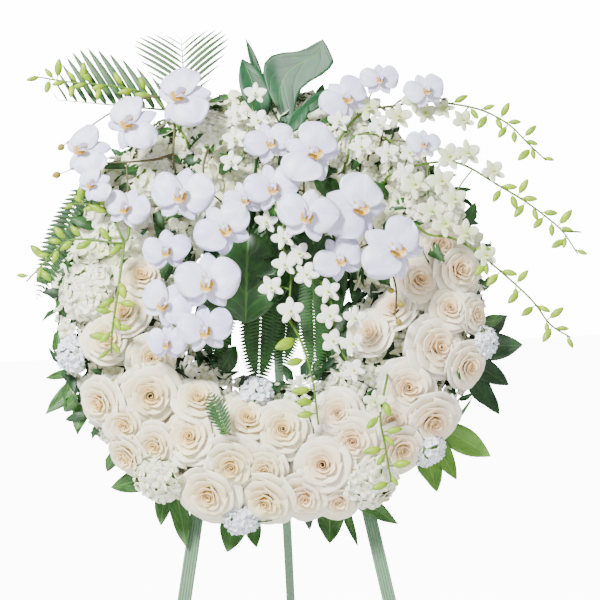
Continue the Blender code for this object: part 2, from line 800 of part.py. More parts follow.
heads = []
for name, rows in list(ROSES.items()) + list(FLORET_HEADS.items()):
    for number, (x, y, radius) in enumerate(rows):
        centre, out = nest(x, y)
        heads.append({
            "node": name, "centre": centre, "out": out, "radius": radius * MM,
            "turn": 1.3 * number + 0.01 * x, "stem": number < STEMS_PER_NODE,
        })

stemmed = [head for head in heads if head["stem"]]
for head in stemmed:
    drill(head["centre"] - head["out"] * STEM_REACH, head["centre"], STEM_RADIUS)
head_drills = len(drills)


# Sprays: a root in the foam, a stem through hand-set points and what it carries.
# Points are (x, y, w): the place seen on the face and the height over it.

def route(start, points):
    return start + [sight(*p) for p in points]


def facing(place, across, up, droop):
    """Where a bloom looks: out of the face, spread outward from the middle and drooping."""
    return Vector((place.x * across, place.y * up - droop, 1)).normalized()


def spray(name, paint, stems, blooms=(), small=(), buds=()):
    """One solid: stems, moth orchids, small orchids and buds, each set on a stem."""
    pieces = [tube(line, STEM_RADIUS) for line in stems]

    def seat(place):
        found = [nearest(line, place) for line in stems]
        return min(found, key=lambda spot: (spot - place).length)

    for x, y, w, width, turn in blooms:
        place = sight(x, y, w)
        tilt = facing(place, *MOTH_FACING)
        pieces.append(moth_orchid(place, tilt, width * MM, math.radians(turn), seat(place)))
    for x, y, w, width, turn in small:
        place = sight(x, y, w)
        tilt = facing(place, *SMALL_FACING)
        pieces.append(spray_orchid(place, tilt, width * MM, math.radians(turn), seat(place)))
    for x, y, w, radius in buds:
        place = sight(x, y, w)
        pieces.append(bud(seat(place), place, radius * MM))
    finish(name, combine(pieces[0], pieces[1:]), paint)


# Moth orchids, in the order they hang: left arm, centre, right arm and the low groups.
spray("moth_orchids_left", ORCHID, [
    route(root(-150, 200), [(-160, 250, 144), (-160, 330, 150), (-200, 345, 152), (-260, 320, 152),
                            (-305, 290, 150)]),
    route([sight(-160, 250, 144)], [(-200, 240, 150), (-290, 235, 150)]),
], blooms=[
    (-144, 344, 170, 98, -75), (-228, 300, 184, 92, -60), (-304, 256, 168, 84, -80),
    (-236, 162, 166, 72, -20), (-290, 200, 176, 58, -60),
], buds=[(-350, 258, 158, 5), (-359, 214, 160, 5)])
spray("moth_orchids_centre_left", ORCHID, [
    route(root(-95, 225), [(-110, 225, 150), (-100, 190, 160), (-50, 150, 160)]),
], blooms=[
    (-145, 184, 184, 98, -10), (-76, 128, 200, 92, 35), (-42, 176, 174, 66, 20),
])
spray("moth_orchids_left_low", ORCHID, [
    route(root(-190, 96), [(-170, 90, 150), (-130, 60, 155), (-120, 0, 152), (-140, -50, 150)]),
], blooms=[
    (-170, 92, 180, 74, 5), (-103, 40, 194, 100, 0), (-172, 4, 172, 80, -35),
    (-107, -38, 178, 84, 8), (-170, -60, 162, 62, 0),
])
spray("moth_orchids_centre", ORCHID, [
    route(root(25, 238), [(40, 250, 150), (55, 215, 172), (55, 150, 178)]),
], blooms=[
    (0, 270, 178, 78, 20), (68, 252, 204, 100, 62), (4, 196, 192, 86, 15), (62, 150, 210, 94, -12),
])
spray("moth_orchids_right", ORCHID, [
    route(root(140, 180), [(150, 175, 150), (170, 130, 165), (190, 90, 165), (208, 30, 162),
                           (206, -16, 158)]),
], blooms=[
    (142, 162, 186, 108, 62), (203, 94, 200, 106, 56), (114, 78, 174, 78, 30),
], buds=[(195, 26, 170, 4), (222, 2, 168, 4), (216, -32, 163, 4)])
spray("moth_orchids_top_right", ORCHID, [
    route(root(160, 215), [(180, 260, 130), (195, 320, 128), (240, 350, 128), (290, 340, 128)]),
    route([sight(195, 320, 128)], [(150, 350, 124), (130, 358, 122)]),
], blooms=[
    (181, 374, 148, 62, 0), (256, 356, 150, 66, 20), (124, 342, 138, 80, 40), (254, 268, 160, 54, 0),
])

# Dendrobium: three long arching bud sprays to the right, three to the left, and the rest.
spray("dendrobium_right_top", BUD, [
    route(root(105, 228), [(151, 318, 118), (204, 330, 112), (250, 338, 108), (310, 332, 112),
                           (355, 321, 120), (396, 298, 126), (426, 268, 130), (456, 240, 132)]),
], small=[(257, 318, 124, 32, 10), (318, 306, 126, 30, 40)],
    buds=[(385, 318, 128, 5), (431, 290, 132, 5), (380, 282, 130, 5), (420, 250, 134, 5),
          (345, 296, 126, 5)])
spray("dendrobium_right_mid", BUD, [
    route(root(190, 180), [(241, 232, 140), (310, 236, 142), (379, 198, 142), (419, 174, 142),
                           (452, 150, 140), (482, 124, 138), (508, 86, 136)]),
    route([sight(482, 124, 138)], [(514, 122, 138)]),
], small=[(326, 252, 152, 34, 10), (368, 226, 152, 30, 30)],
    buds=[(368, 172, 146, 5), (415, 192, 146, 5), (406, 150, 146, 5), (440, 134, 146, 5),
          (482, 140, 142, 5), (474, 102, 142, 5)])
spray("dendrobium_right_low", BUD, [
    route(root(232, 100), [(262, 118, 146), (300, 112, 150), (334, 94, 150), (367, 69, 148),
                           (430, 12, 144), (462, -30, 140), (496, -52, 138)]),
], small=[(323, 120, 158, 34, 0)],
    buds=[(351, 66, 152, 5), (366, 42, 152, 5), (415, 47, 150, 5), (402, 14, 150, 5),
          (426, -8, 148, 5), (472, -12, 144, 5), (456, -50, 144, 5)])
spray("dendrobium_left_top", BUD, [
    route(root(-130, 240), [(-155, 300, 122), (-190, 343, 122), (-230, 358, 124), (-291, 366, 128),
                            (-334, 370, 130), (-390, 379, 132)]),
], buds=[(-327, 356, 134, 5), (-308, 384, 134, 5), (-283, 350, 132, 5), (-366, 364, 136, 5),
         (-350, 384, 136, 5)])
spray("dendrobium_left_low", BUD, [
    route(root(-218, 108), [(-240, 105, 156), (-300, 110, 152), (-334, 107, 148), (-359, 85, 144),
                            (-402, 40, 136)]),
    route([sight(-240, 105, 156)], [(-250, 30, 160), (-260, -40, 156), (-262, -78, 152)]),
    route([sight(-240, 105, 156)], [(-272, 160, 152), (-333, 170, 146)]),
], buds=[(-345, 118, 150, 5), (-382, 88, 144, 5), (-368, 48, 144, 5), (-236, 4, 162, 5),
         (-273, -8, 160, 5), (-240, -36, 158, 5), (-276, -50, 156, 5), (-312, 186, 152, 5)])
spray("dendrobium_right_hanging", BUD, [
    route(root(186, -140), [(182, -180, 158), (190, -230, 156), (200, -290, 150)]),
], small=[(172, -158, 164, 34, 0)],
    buds=[(205, -205, 160, 5), (172, -238, 158, 5), (208, -262, 156, 5), (184, -296, 154, 5)])
spray("dendrobium_centre", FLORET, [
    route(root(48, 200), [(20, 118, 158), (34, 60, 158), (30, -20, 156)]),
    route([sight(34, 60, 158)], [(92, 30, 158), (112, -60, 154), (138, -108, 152)]),
    route([sight(30, -20, 156)], [(52, -60, 154), (70, -120, 152), (80, -196, 148)]),
], small=[
    (-6, 138, 164, 36, 0), (22, 112, 172, 36, 20), (48, 86, 164, 36, 40), (24, 68, 178, 38, 10),
    (2, 30, 166, 38, 30), (34, -8, 172, 40, 5), (60, 52, 170, 38, 50), (96, 24, 166, 38, 15),
    (98, -16, 174, 38, 35), (140, -20, 164, 36, 0), (104, -58, 164, 36, 60), (136, -62, 172, 36, 20),
    (138, -106, 162, 34, 45),
], buds=[(42, -92, 160, 5), (50, -140, 156, 5), (66, -158, 156, 5), (52, -180, 154, 5),
         (36, -58, 162, 7)])
spray("dendrobium_top_left", FLORET, [
    route(root(-68, 214), [(-52, 240, 138), (-38, 280, 138), (-24, 350, 132)]),
], small=[
    (-24, 350, 144, 36, 0), (-54, 318, 150, 36, 20), (-20, 306, 142, 36, 40), (-58, 276, 142, 38, 10),
    (-22, 262, 150, 38, 30), (-64, 238, 152, 34, 0),
])
spray("dendrobium_top_right", FLORET, [
    route(root(122, 200), [(128, 240, 138), (138, 280, 138), (190, 278, 140), (226, 240, 140)]),
], small=[
    (114, 304, 146, 36, 0), (150, 262, 154, 38, 20), (180, 298, 150, 36, 40), (194, 252, 148, 38, 10),
    (222, 218, 156, 38, 30), (230, 252, 147, 34, 50),
])


# Leaves and ferns. Each is one blade or one twig of blades.

def single(name, pieces, paint=LEAF):
    finish(name, combine(pieces[0], pieces[1:]), paint)


# The broad leaf at the top is seen aslant: its margin, as it shows on the face, from the stalk.
TOP_LEAF_MARGIN = (
    (31, 290), (12, 322), (-10, 371), (-12, 404), (0, 421), (45, 422), (69, 431), (87, 441),
    (106, 401), (89, 381), (51, 361), (41, 338),
)
base = sight(*TOP_LEAF_MARGIN[0], TOP_LEAF_W)
margin = [sight(x, y, TOP_LEAF_W) - base for x, y in TOP_LEAF_MARGIN]
rib_line = (sight(*TOP_LEAF_MARGIN[7], TOP_LEAF_W) - base).normalized()
single("top_leaf", [
    tube(root(20, 272) + [base + rib_line * 0.006], LEAF_STEM),
    blade(
        [(spot.x, spot.y) for spot in margin], BLADE,
        lambda x, y: TOP_LEAF_CUP * abs(x * rib_line.y - y * rib_line.x) - TOP_LEAF_BACK * y,
        Matrix.Translation(base),
    ),
])
base, tip = sight(-36, 122, 118), sight(-40, -28, 96)
single("centre_leaf", [
    tube(root(-18, 208) + [sight(-34, 150, 124), base + (tip - base) * 0.08], LEAF_STEM),
    leaf(base, tip, 0.108, 9, 0.05, notch=0.30),
])

# Palm: one frond folded upward along its rib and one seen from its face.
palm_root = root(-150, 246, top=0.092)
fronds = [tube(palm_root, LEAF_STEM)]
for start, end, width, pairs, folded in (
    ((-158, 322, 98), (-350, 340, 104), 0.140, 10, True),
    ((-140, 340, 96), (-146, 440, 84), 0.165, 6, False),
):
    base, tip = sight(*start), sight(*end)
    fronds.append(stalk(palm_root[1], base + (tip - base) * 0.01, LEAF_STEM))
    outline = palm_outline((tip - base).length, width, pairs, folded)
    fronds.append(blade(outline, BLADE, None, lay(base, tip)))
single("palm_fronds", fronds)
base, tip = sight(-312, 190, 96), sight(-384, 12, 50)
single("fern_left", [
    tube(root(-226, 178, top=0.10) + [base + (tip - base) * 0.01], FERN_STEM),
    blade(fern_outline((tip - base).length, 0.054, 7), BLADE, None, lay(base, tip)),
])

# Three fronds hang in the ring's hole from one stem.
FERN_FORK = (6, 160, 88)
fork_place = sight(*FERN_FORK)
fronds = [tube(root(8, 182, top=0.095) + [fork_place], STEM_RADIUS)]
for start, end, width in (
    ((-12, 60, 68), (-20, -146, 58), 56), ((-62, 70, 78), (-98, -112, 66), 42),
    ((70, 60, 78), (76, -128, 62), 46),
):
    base, tip = sight(*start), sight(*end)
    fronds.append(stalk(fork_place, base + (tip - base) * 0.01, FERN_STALK))
    fronds.append(blade(
        fern_outline((tip - base).length, width * MM, 6), BLADE, None, lay(base, tip),
    ))
single("ferns_centre", fronds)

# A short fern tip that stands among the roses.
base, tip = sight(-72, -210, 152), sight(-100, -140, 156)
single("fern_tip", [
    tube(root(-70, -226) + [base + (tip - base) * 0.01], FERN_STEM),
    blade(fern_outline((tip - base).length, 0.036, 5), BLADE, None, lay(base, tip)),
])

# Leaves round the rim: where a twig's mouth is, and (x, y, width) of each leaf's tip.
RIM_TWIGS = (
    ("rim_leaves_left", 202, ((-370, -119, 15), (-370, -178, 27), (-318, -212, 30))),
    ("rim_leaves_bottom_left", 240, ((-262, -300, 36), (-180, -362, 28), (-138, -398, 32))),
    ("rim_leaves_bottom", 263, ((-70, -406, 44), (-22, -398, 28))),
    ("rim_leaves_bottom_right", 290, ((99, -391, 44), (145, -396, 15), (211, -360, 30))),
    ("rim_leaves_low_right", 321, ((276, -306, 46), (308, -286, 34), (364, -248, 44))),
    ("rim_leaves_right", 346, ((379, -178, 38), (394, -130, 36), (417, -64, 46), (392, -16, 40))),
)
for name, middle, tips in RIM_TWIGS:
    mid = math.radians(middle) - VIEW_TURN
    outward = Vector((math.cos(mid), math.sin(mid), 0))
    inner = outward * (foam_out - TWIG_DEEP) + Vector((0, 0, TWIG_W))
    mouth = outward * (foam_out + 0.006) + Vector((0, 0, TWIG_W))
    drill(inner, mouth, LEAF_STEM)
    joint = outward * (foam_out + TWIG_OUT) + Vector((0, 0, TWIG_FORK_W))
    sideways = Vector((-outward.y, outward.x, 0))
    fork = [joint + sideways * (TWIG_PITCH * (n - (len(tips) - 1) / 2)) for n in range(len(tips))]
    pieces = [
        tube([inner, mouth, joint], LEAF_STEM),
        tube([fork[0] - sideways * 0.001, fork[-1] + sideways * 0.001], 0.0020),
    ]
    for number, ((x, y, width), base) in enumerate(zip(tips, fork)):
        tip = sight(x, y, 10 - 3 * (number % 2))
        pieces.append(leaf(base, tip, width * MM, 4, -0.04, roll=0.25 * (number - 1)))
    single(name, pieces)


# The foam ring, with a hole for each stem, and the flower heads on it.
foam = turned([
    (foam_out, TRAY_WALL + GAP), (foam_out, 0.060), (foam_out - 0.024, FOAM_TOP),
    (foam_in + 0.024, FOAM_TOP), (foam_in, 0.060), (foam_in, TRAY_WALL + GAP),
], RING_STEPS)
foam = combine(foam, [drill_mesh(*d) for d in drills], "DIFFERENCE")
finish("foam_ring", foam, FOAM)


def press(mesh, head, others):
    """Flatten a head where a head of another node presses on it."""
    cutters = []
    for other in others:
        if other["node"] == head["node"]:
            continue
        away = other["centre"] - head["centre"]
        reach = head["radius"] + other["radius"]
        if away.length > reach * PRESSED:
            continue
        share = head["radius"] / reach
        plane = head["centre"] + away * share - away.normalized() * GAP
        slab = box((-0.15, -0.15, 0), (0.15, 0.15, 0.15))
        slab.transform(aim(plane, away))
        cutters.append(slab)
    return combine(mesh, cutters, "DIFFERENCE")


for name in list(ROSES) + list(FLORET_HEADS):
    pieces = []
    for head in (h for h in heads if h["node"] == name):
        stand = aim(head["centre"], head["out"], head["turn"])
        shape = rose_head if name in ROSES else floret_head
        rings, ends = shape(head["radius"])
        body = press(loft(rings, stand, ends), head, heads)
        pieces.append(body)
        if head["stem"]:
            low = head["centre"] - head["out"] * STEM_REACH
            pieces.append(tube([low, head["centre"]], STEM_RADIUS))
    solid = combine(pieces[0], pieces[1:])
    channels = []
    for low, high, radius in drills[head_drills:]:
        if any((nearest([low, high], h["centre"]) - h["centre"]).length < h["radius"] * 1.2
               for h in heads if h["node"] == name):
            channels.append(drill_mesh(low, high, radius))
    solid = combine(solid, channels, "DIFFERENCE")
    finish(name, solid, ROSE if name in ROSES else FLORET)

bpy.data.collections.remove(work)
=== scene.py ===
"""The looks of a funeral wreath of white roses and orchids on a folding wooden easel."""

import math
import random

import bmesh
import bpy
import numpy as np
from mathutils import Matrix, Quaternion, Vector


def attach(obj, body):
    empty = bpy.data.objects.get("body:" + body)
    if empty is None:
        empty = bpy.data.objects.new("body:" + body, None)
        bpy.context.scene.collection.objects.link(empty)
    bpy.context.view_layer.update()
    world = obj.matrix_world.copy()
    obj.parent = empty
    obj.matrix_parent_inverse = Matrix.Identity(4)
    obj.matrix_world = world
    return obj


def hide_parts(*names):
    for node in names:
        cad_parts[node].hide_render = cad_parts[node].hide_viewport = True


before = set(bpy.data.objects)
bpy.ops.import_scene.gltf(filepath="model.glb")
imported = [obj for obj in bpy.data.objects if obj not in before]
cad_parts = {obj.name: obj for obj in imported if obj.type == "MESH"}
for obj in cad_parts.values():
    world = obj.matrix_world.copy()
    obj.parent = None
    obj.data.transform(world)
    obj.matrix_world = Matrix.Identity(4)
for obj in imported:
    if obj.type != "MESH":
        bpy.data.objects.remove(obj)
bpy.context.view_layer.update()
WREATH = "wreath_and_easel"


# The view and the light. The wreath is seen from the front, level with the middle of its
# ring, through a long lens that is turned a little, in a bright room with a pale floor.
LEAN = math.radians(12)
RING_PLACE = Vector((-0.0577, -0.189, 1.0))
ring_matrix = Matrix.Translation(RING_PLACE) @ Matrix.Rotation(math.pi / 2 - LEAN, 4, "X")
VIEW_FROM = Vector((0.050, -2.600, 0.0076))
VIEW_TURN = math.radians(2.6)
VIEW_LENS = 94.56


def placed(name, data):
    """A new object in the scene, at the origin, for a mesh, a curve, a light or a camera."""
    item = bpy.data.objects.new(name, data)
    bpy.context.scene.collection.objects.link(item)
    return item


camera = placed("camera", bpy.data.cameras.new("camera"))
camera.location = RING_PLACE + VIEW_FROM
camera.rotation_euler = (math.pi / 2, VIEW_TURN, 0)
camera.data.sensor_width = 36
camera.data.lens = VIEW_LENS
bpy.context.scene.camera = camera


def srgb(red, green, blue):
    """A screen colour from 0 to 255 as the linear colour that a shader takes."""
    shares = [c / 255 for c in (red, green, blue)]
    return tuple(c / 12.92 if c < 0.04 else ((c + 0.055) / 1.055) ** 2.4 for c in shares) + (1.0,)


def node(tree, kind, inputs=(), **settings):
    """A node with its settings; an input takes a value or the socket that feeds it."""
    made = tree.nodes.new(kind)
    for name, value in settings.items():
        setattr(made, name, value)
    for name, value in dict(inputs).items():
        if isinstance(value, bpy.types.NodeSocket):
            tree.links.new(value, made.inputs[name])
        else:
            made.inputs[name].default_value = value
    return made


def finish_of(name, roughness, **constants):
    """A new material with its node tree and shader; constants sit on the shader's sockets."""
    made = bpy.data.materials.new(name)
    made.use_nodes = True
    shader = made.node_tree.nodes["Principled BSDF"]
    shader.inputs["Roughness"].default_value = roughness
    for socket, value in constants.items():
        shader.inputs[socket.replace("_", " ")].default_value = value
    return made, made.node_tree, shader


def area_light(name, place, size, power):
    """A soft square lamp that is turned to the middle of the ring."""
    lamp = bpy.data.lights.new(name, "AREA")
    lamp.size = size
    lamp.energy = power
    item = placed(name, lamp)
    item.location = place
    item.rotation_euler = (RING_PLACE - Vector(place)).to_track_quat("-Z", "Y").to_euler()


area_light("key_light", (-1.5, -2.6, 3.1), 0.7, 330)
area_light("fill_light", (2.4, -2.4, 1.5), 2.4, 14)
area_light("back_light", (0.6, 2.4, 2.6), 2.0, 30)


def ranged(tree, value, low, high, to_low=0.0, to_high=1.0):
    """A value spread from one range over another, and held inside it."""
    return node(tree, "ShaderNodeMapRange", {
        "Value": value, "From Min": low, "From Max": high, "To Min": to_low, "To Max": to_high,
    }).outputs[0]


def camera_sees(tree):
    """One where the camera looks straight at the surface, and zero for the light it gives."""
    return node(tree, "ShaderNodeLightPath").outputs["Is Camera Ray"]


# The room's walls and floor are far brighter to the eye than the light that they give.
ROOM_LIGHT = 0.72
ROOM_SEEN = 15.0
FLOOR_SEEN = 11.0
FLOOR_SIZE = 30
WHITE = (1.0, 1.0, 1.0, 1.0)
world = bpy.data.worlds.new("room")
world.use_nodes = True
room = world.node_tree
strength = ranged(room, camera_sees(room), 0.0, 1.0, ROOM_LIGHT, ROOM_SEEN)
room.nodes["Background"].inputs["Color"].default_value = WHITE
room.links.new(strength, room.nodes["Background"].inputs["Strength"])
bpy.context.scene.world = world

floor_mesh = bpy.data.meshes.new("floor")
floor_shape = bmesh.new()
bmesh.ops.create_grid(floor_shape, x_segments=1, y_segments=1, size=FLOOR_SIZE)
floor_shape.to_mesh(floor_mesh)
floor_shape.free()
floor = placed("floor", floor_mesh)
floor_finish, tree, shader = finish_of(
    "pale_floor", 0.9, Base_Color=srgb(250, 250, 250), Emission_Color=WHITE,
)
glow = ranged(tree, camera_sees(tree), 0.0, 1.0, 0.0, FLOOR_SEEN)
tree.links.new(glow, shader.inputs["Emission Strength"])
floor_mesh.materials.append(floor_finish)


# The easel. Softwood legs with reeded fronts, painted pale sage green; the two front legs
# are screwed to a block at the top and to a rail below, and the rear leg folds on a pin.
EASEL_X = 0.006
APEX = 0.356
LEG_WIDTH = 0.021
LEG_DEPTH = 0.019
REEDS = 5
REED_HIGH = 0.0013
EDGE_EASE = 0.0015
SHARP_EDGE = math.radians(40)
LEG_SPLAY = 0.18
LEG_TOP_X = 0.013
SEAT_GAP = 0.0004
SAGE = srgb(108, 144, 112)
SAGE_DARK = srgb(84, 114, 88)
BARE_WOOD = srgb(140, 122, 84)


def shader_group(name, takes, gives):
    """An empty shader group with its named sockets, and the sockets to wire inside it."""
    tree = bpy.data.node_groups.new(name, "ShaderNodeTree")
    for label, kind, value in takes:
        socket = tree.interface.new_socket(label, in_out="INPUT", socket_type=f"NodeSocket{kind}")
        socket.default_value = value
    for label, kind in gives:
        tree.interface.new_socket(label, in_out="OUTPUT", socket_type=f"NodeSocket{kind}")
    return tree, tree.nodes.new("NodeGroupInput").outputs, tree.nodes.new("NodeGroupOutput").inputs


def math_node(tree, operation, *values):
    """The result of a sum on values or sockets."""
    return node(tree, "ShaderNodeMath", dict(enumerate(values)), operation=operation).outputs[0]


def mixed(tree, share, under, over):
    """One colour laid over another by a share."""
    made = node(tree, "ShaderNodeMix", {"Factor": share, "A": under, "B": over}, data_type="RGBA")
    return made.outputs["Result"]


def own_place(tree):
    """The place on the piece, in metres."""
    return node(tree, "ShaderNodeTexCoord").outputs["Object"]


# Mottle: two colours that drift into each other over the surface.
mottle, taken, given = shader_group("mottle", [
    ("Colour A", "Color", (1, 1, 1, 1)), ("Colour B", "Color", (0, 0, 0, 1)),
    ("Scale", "Float", 60.0), ("Share", "Float", 0.5), ("Stretch", "Vector", (1, 1, 1)),
], [("Colour", "Color"), ("Value", "Float")])
spread = node(mottle, "ShaderNodeMapping", {"Vector": own_place(mottle), "Scale": taken["Stretch"]})
cloud = node(mottle, "ShaderNodeTexNoise", {
    "Vector": spread.outputs[0], "Scale": taken["Scale"], "Detail": 4.0, "Roughness": 0.6,
})
level = ranged(mottle, cloud.outputs["Fac"], 0.32, 0.68)
share = math_node(mottle, "MULTIPLY", level, taken["Share"])
mottle.links.new(mixed(mottle, share, taken["Colour A"], taken["Colour B"]), given["Colour"])
mottle.links.new(level, given["Value"])


def mottled(tree, light, dark, scale, share=0.9, stretch=(1, 1, 1)):
    """The mottle group in a material's tree: its colour and its value."""
    return node(tree, "ShaderNodeGroup", {
        "Colour A": light, "Colour B": dark, "Scale": scale, "Share": share, "Stretch": stretch,
    }, node_tree=mottle).outputs


def bump(tree, shader, height, strength, distance):
    """A height that lifts a surface's shading, by metres."""
    lift = node(tree, "ShaderNodeBump", {"Height": height, "Strength": strength, "Distance": distance})
    tree.links.new(lift.outputs[0], shader.inputs["Normal"])


paint, tree, shader = finish_of("sage_paint", 0.55)
brushed = mottled(tree, SAGE, SAGE_DARK, 55.0, 0.6, (6.0, 6.0, 0.25))
worn = node(tree, "ShaderNodeTexNoise", {"Vector": own_place(tree), "Scale": 38.0, "Detail": 6.0})
chips = ranged(tree, worn.outputs["Fac"], 0.66, 0.74)
tree.links.new(mixed(tree, chips, brushed["Colour"], BARE_WOOD), shader.inputs["Base Color"])
bump(tree, shader, brushed["Value"], 0.35, 0.0006)


def ended(item, body, slot, *nodes):
    """Let a finished piece ride on its body and hide what it stands for; its slot is not used."""
    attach(item, body)
    if nodes:
        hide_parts(*nodes)
    return item


def piece(name, mesh, finish):
    """A mesh made on the ring's face, as an object at the origin with its place in its mesh."""
    mesh.name = name
    mesh.materials.clear()
    mesh.materials.append(finish)
    mesh.transform(ring_matrix)
    mesh.shade_smooth()
    return placed(name, mesh)


def reeded_section(width, depth, reeds):
    """Outline of a leg: eased back corners, and half-round reeds side by side in front."""
    half = width / 2
    points = [(-half + EDGE_EASE, -depth), (half - EDGE_EASE, -depth), (half, -depth + EDGE_EASE)]
    for i in range(reeds):
        middle = half - width * (i + 0.5) / reeds
        for k in range(7):
            turn = math.pi * k / 6
            x = middle + width / reeds / 2 * math.cos(turn)
            points.append((x, -REED_HIGH + REED_HIGH * math.sin(turn)))
    return points + [(-half, -depth + EDGE_EASE)]


def stick(top, foot, section):
    """A straight leg from its top to the floor, where it is cut level."""
    along = (foot - top).normalized()
    front = Vector((0, 0, 1))
    stand = Matrix((front.cross(along), front, along)).transposed()
    shape = bmesh.new()
    rows = []
    for end in range(2):
        row = []
        for x, y in section:
            spot = top + stand @ Vector((x, y, 0))
            if end:
                high, run = ring_matrix @ spot, ring_matrix.to_3x3() @ along
                spot = spot + along * (high.z / -run.z)
            row.append(shape.verts.new(spot))
        rows.append(row)
    count = len(section)
    for i in range(count):
        j = (i + 1) % count
        shape.faces.new((rows[0][i], rows[0][j], rows[1][j], rows[1][i]))
    shape.faces.new(rows[0][::-1])
    shape.faces.new(rows[1])
    bmesh.ops.recalc_face_normals(shape, faces=shape.faces)
    mesh = bpy.data.meshes.new("leg")
    shape.to_mesh(mesh)
    shape.free()
    return mesh


for side, hand in (("left", -1), ("right", 1)):
    top = Vector((EASEL_X + hand * LEG_TOP_X, APEX, -SEAT_GAP))
    foot = Vector((top.x + hand * LEG_SPLAY, APEX - 1.0, -SEAT_GAP))
    section = reeded_section(LEG_WIDTH, LEG_DEPTH, REEDS)
    leg = piece(f"front_leg_{side}_reeded", stick(top, foot, section), paint)
    leg.data.set_sharp_from_angle(angle=SHARP_EDGE)
    ended(leg, WREATH, "painted_wood", f"front_leg_{side}")


def refinished(name, finish):
    """A CAD piece whose shape is right takes a better finish."""
    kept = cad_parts[name]
    kept.data.materials.clear()
    kept.data.materials.append(finish)


for name in ("rear_leg", "head_block", "cross_rail"):
    refinished(name, paint)


# The hardware: a pressed steel fork with its pin, a screw through the tray's tab and two
# ties of soft wire, all plain zinc-plated steel with a little tarnish.
zinc, tree, shader = finish_of("zinc_plate", 0.38, Metallic=1.0)
plate = mottled(tree, srgb(186, 188, 190), srgb(140, 142, 146), 420.0, 0.7)
tree.links.new(plate["Colour"], shader.inputs["Base Color"])
bump(tree, shader, plate["Value"], 0.15, 0.0002)
for name in ("hinge_fork", "hinge_pin", "hanging_screw", "wire_tie_left", "wire_tie_right"):
    refinished(name, zinc)


# The base: a moulded off-white plastic tray, pressed full of green floral foam. The foam
# is soft and crumbly and has a plain hole for each stem.
moulding, tree, shader = finish_of("tray_moulding", 0.45)
cast = mottled(tree, srgb(226, 222, 210), srgb(206, 202, 188), 90.0, 0.6)
tree.links.new(cast["Colour"], shader.inputs["Base Color"])
bump(tree, shader, cast["Value"], 0.1, 0.0003)
refinished("base_tray", moulding)

crumb, tree, shader = finish_of("wet_foam", 0.95)
wet = mottled(tree, srgb(58, 92, 52), srgb(34, 60, 34), 130.0)
pores = node(tree, "ShaderNodeTexVoronoi", {"Vector": own_place(tree), "Scale": 620.0})
tree.links.new(wet["Colour"], shader.inputs["Base Color"])
bump(tree, shader, pores.outputs["Distance"], 0.8, 0.0012)
refinished("foam_ring", crumb)


# Rim leaves. Leathery pointed leaves wired in short twigs into the foam's outer wall, so
# that they fan out from under the flowers all round the lower half.
MM = 0.001
VIEW = Vector((0.050, -0.533, 2.545))
FOAM_OUT = 0.315
LEAF_THICK = 0.0007
RIM_TWIGS = (
    ("rim_leaves_left", 202, ((-370, -119, 15), (-370, -178, 27), (-318, -212, 30))),
    ("rim_leaves_bottom_left", 240, ((-262, -300, 36), (-180, -362, 28), (-138, -398, 32))),
    ("rim_leaves_bottom", 263, ((-70, -406, 44), (-22, -398, 28))),
    ("rim_leaves_bottom_right", 290, ((99, -391, 44), (145, -396, 15), (211, -360, 30))),
    ("rim_leaves_low_right", 321, ((276, -306, 46), (308, -286, 34), (364, -248, 44))),
    ("rim_leaves_right", 346, ((379, -178, 38), (394, -130, 36), (417, -64, 46), (392, -16, 40))),
)

# Veins: thin lines that run aslant from a leaf's rib to its margin, and the rib itself.
veins, taken, given = shader_group("veins", [
    ("Along Count", "Float", 9.0), ("Across Count", "Float", 5.0), ("Rib", "Float", 0.05),
], [("Lines", "Float"), ("Rib", "Float"), ("Across", "Float"), ("Along", "Float"), ("Tint", "Float")])
read = {
    label: node(veins, "ShaderNodeAttribute", attribute_name=label).outputs["Fac"]
    for label in ("across", "along", "tint")
}
off_rib = math_node(veins, "ABSOLUTE", read["across"])
step_along = math_node(veins, "MULTIPLY", read["along"], taken["Along Count"])
slant = math_node(veins, "MULTIPLY_ADD", off_rib, taken["Across Count"], step_along)
line = math_node(veins, "POWER", math_node(veins, "PINGPONG", slant, 1.0), 5.0)
rib = ranged(veins, off_rib, 0.0, taken["Rib"], 1.0, 0.0)
for label, source in (
    ("Lines", line), ("Rib", rib), ("Across", off_rib), ("Along", read["along"]), ("Tint", read["tint"]),
):
    veins.links.new(source, given[label])


def veined(tree, along_count, across_count, rib_width):
    """The veins group in a material's tree."""
    return node(tree, "ShaderNodeGroup", {
        "Along Count": along_count, "Across Count": across_count, "Rib": rib_width,
    }, node_tree=veins).outputs


def leaf_finish(name, dark, light, rib_colour, roughness=0.50, counts=(9.0, 5.0), seen=0.28,
                rib_width=0.07):
    """A leaf's finish: mottled green, a pale rib and sunk side veins."""
    made, tree, shader = finish_of(name, roughness, Coat_Weight=0.05, Coat_Roughness=0.45)
    green = mottled(tree, light, dark, 34.0)
    lines = veined(tree, *counts, rib_width)
    netted = mixed(tree, math_node(tree, "MULTIPLY", lines["Lines"], seen), green["Colour"], rib_colour)
    ribbed = mixed(tree, lines["Rib"], netted, rib_colour)
    tree.links.new(mixed(tree, lines["Tint"], ribbed, light), shader.inputs["Base Color"])
    bump(tree, shader, math_node(tree, "MAXIMUM", lines["Lines"], lines["Rib"]), 0.35, -0.0008)
    return made


RIM_GREEN = leaf_finish("rim_leaf", srgb(18, 60, 16), srgb(56, 108, 32), srgb(108, 152, 72))
PALE_GREEN = leaf_finish("young_leaf", srgb(62, 118, 24), srgb(100, 152, 46), srgb(140, 180, 88))
# The darkest green is partly the leaves' own colour and partly painted shade: it goes on the bed leaves
# between the flowers, on the leaves at the ring's inner side and on the right rim leaves.
DARK_GREEN = leaf_finish("shade_dark_leaf", srgb(10, 40, 16), srgb(28, 72, 28), srgb(58, 100, 50))


def upright(x, y):
    """A place in the turned view as metres right of and up from the ring's centre."""
    return Matrix.Rotation(-VIEW_TURN, 2) @ Vector((x, y)) * MM


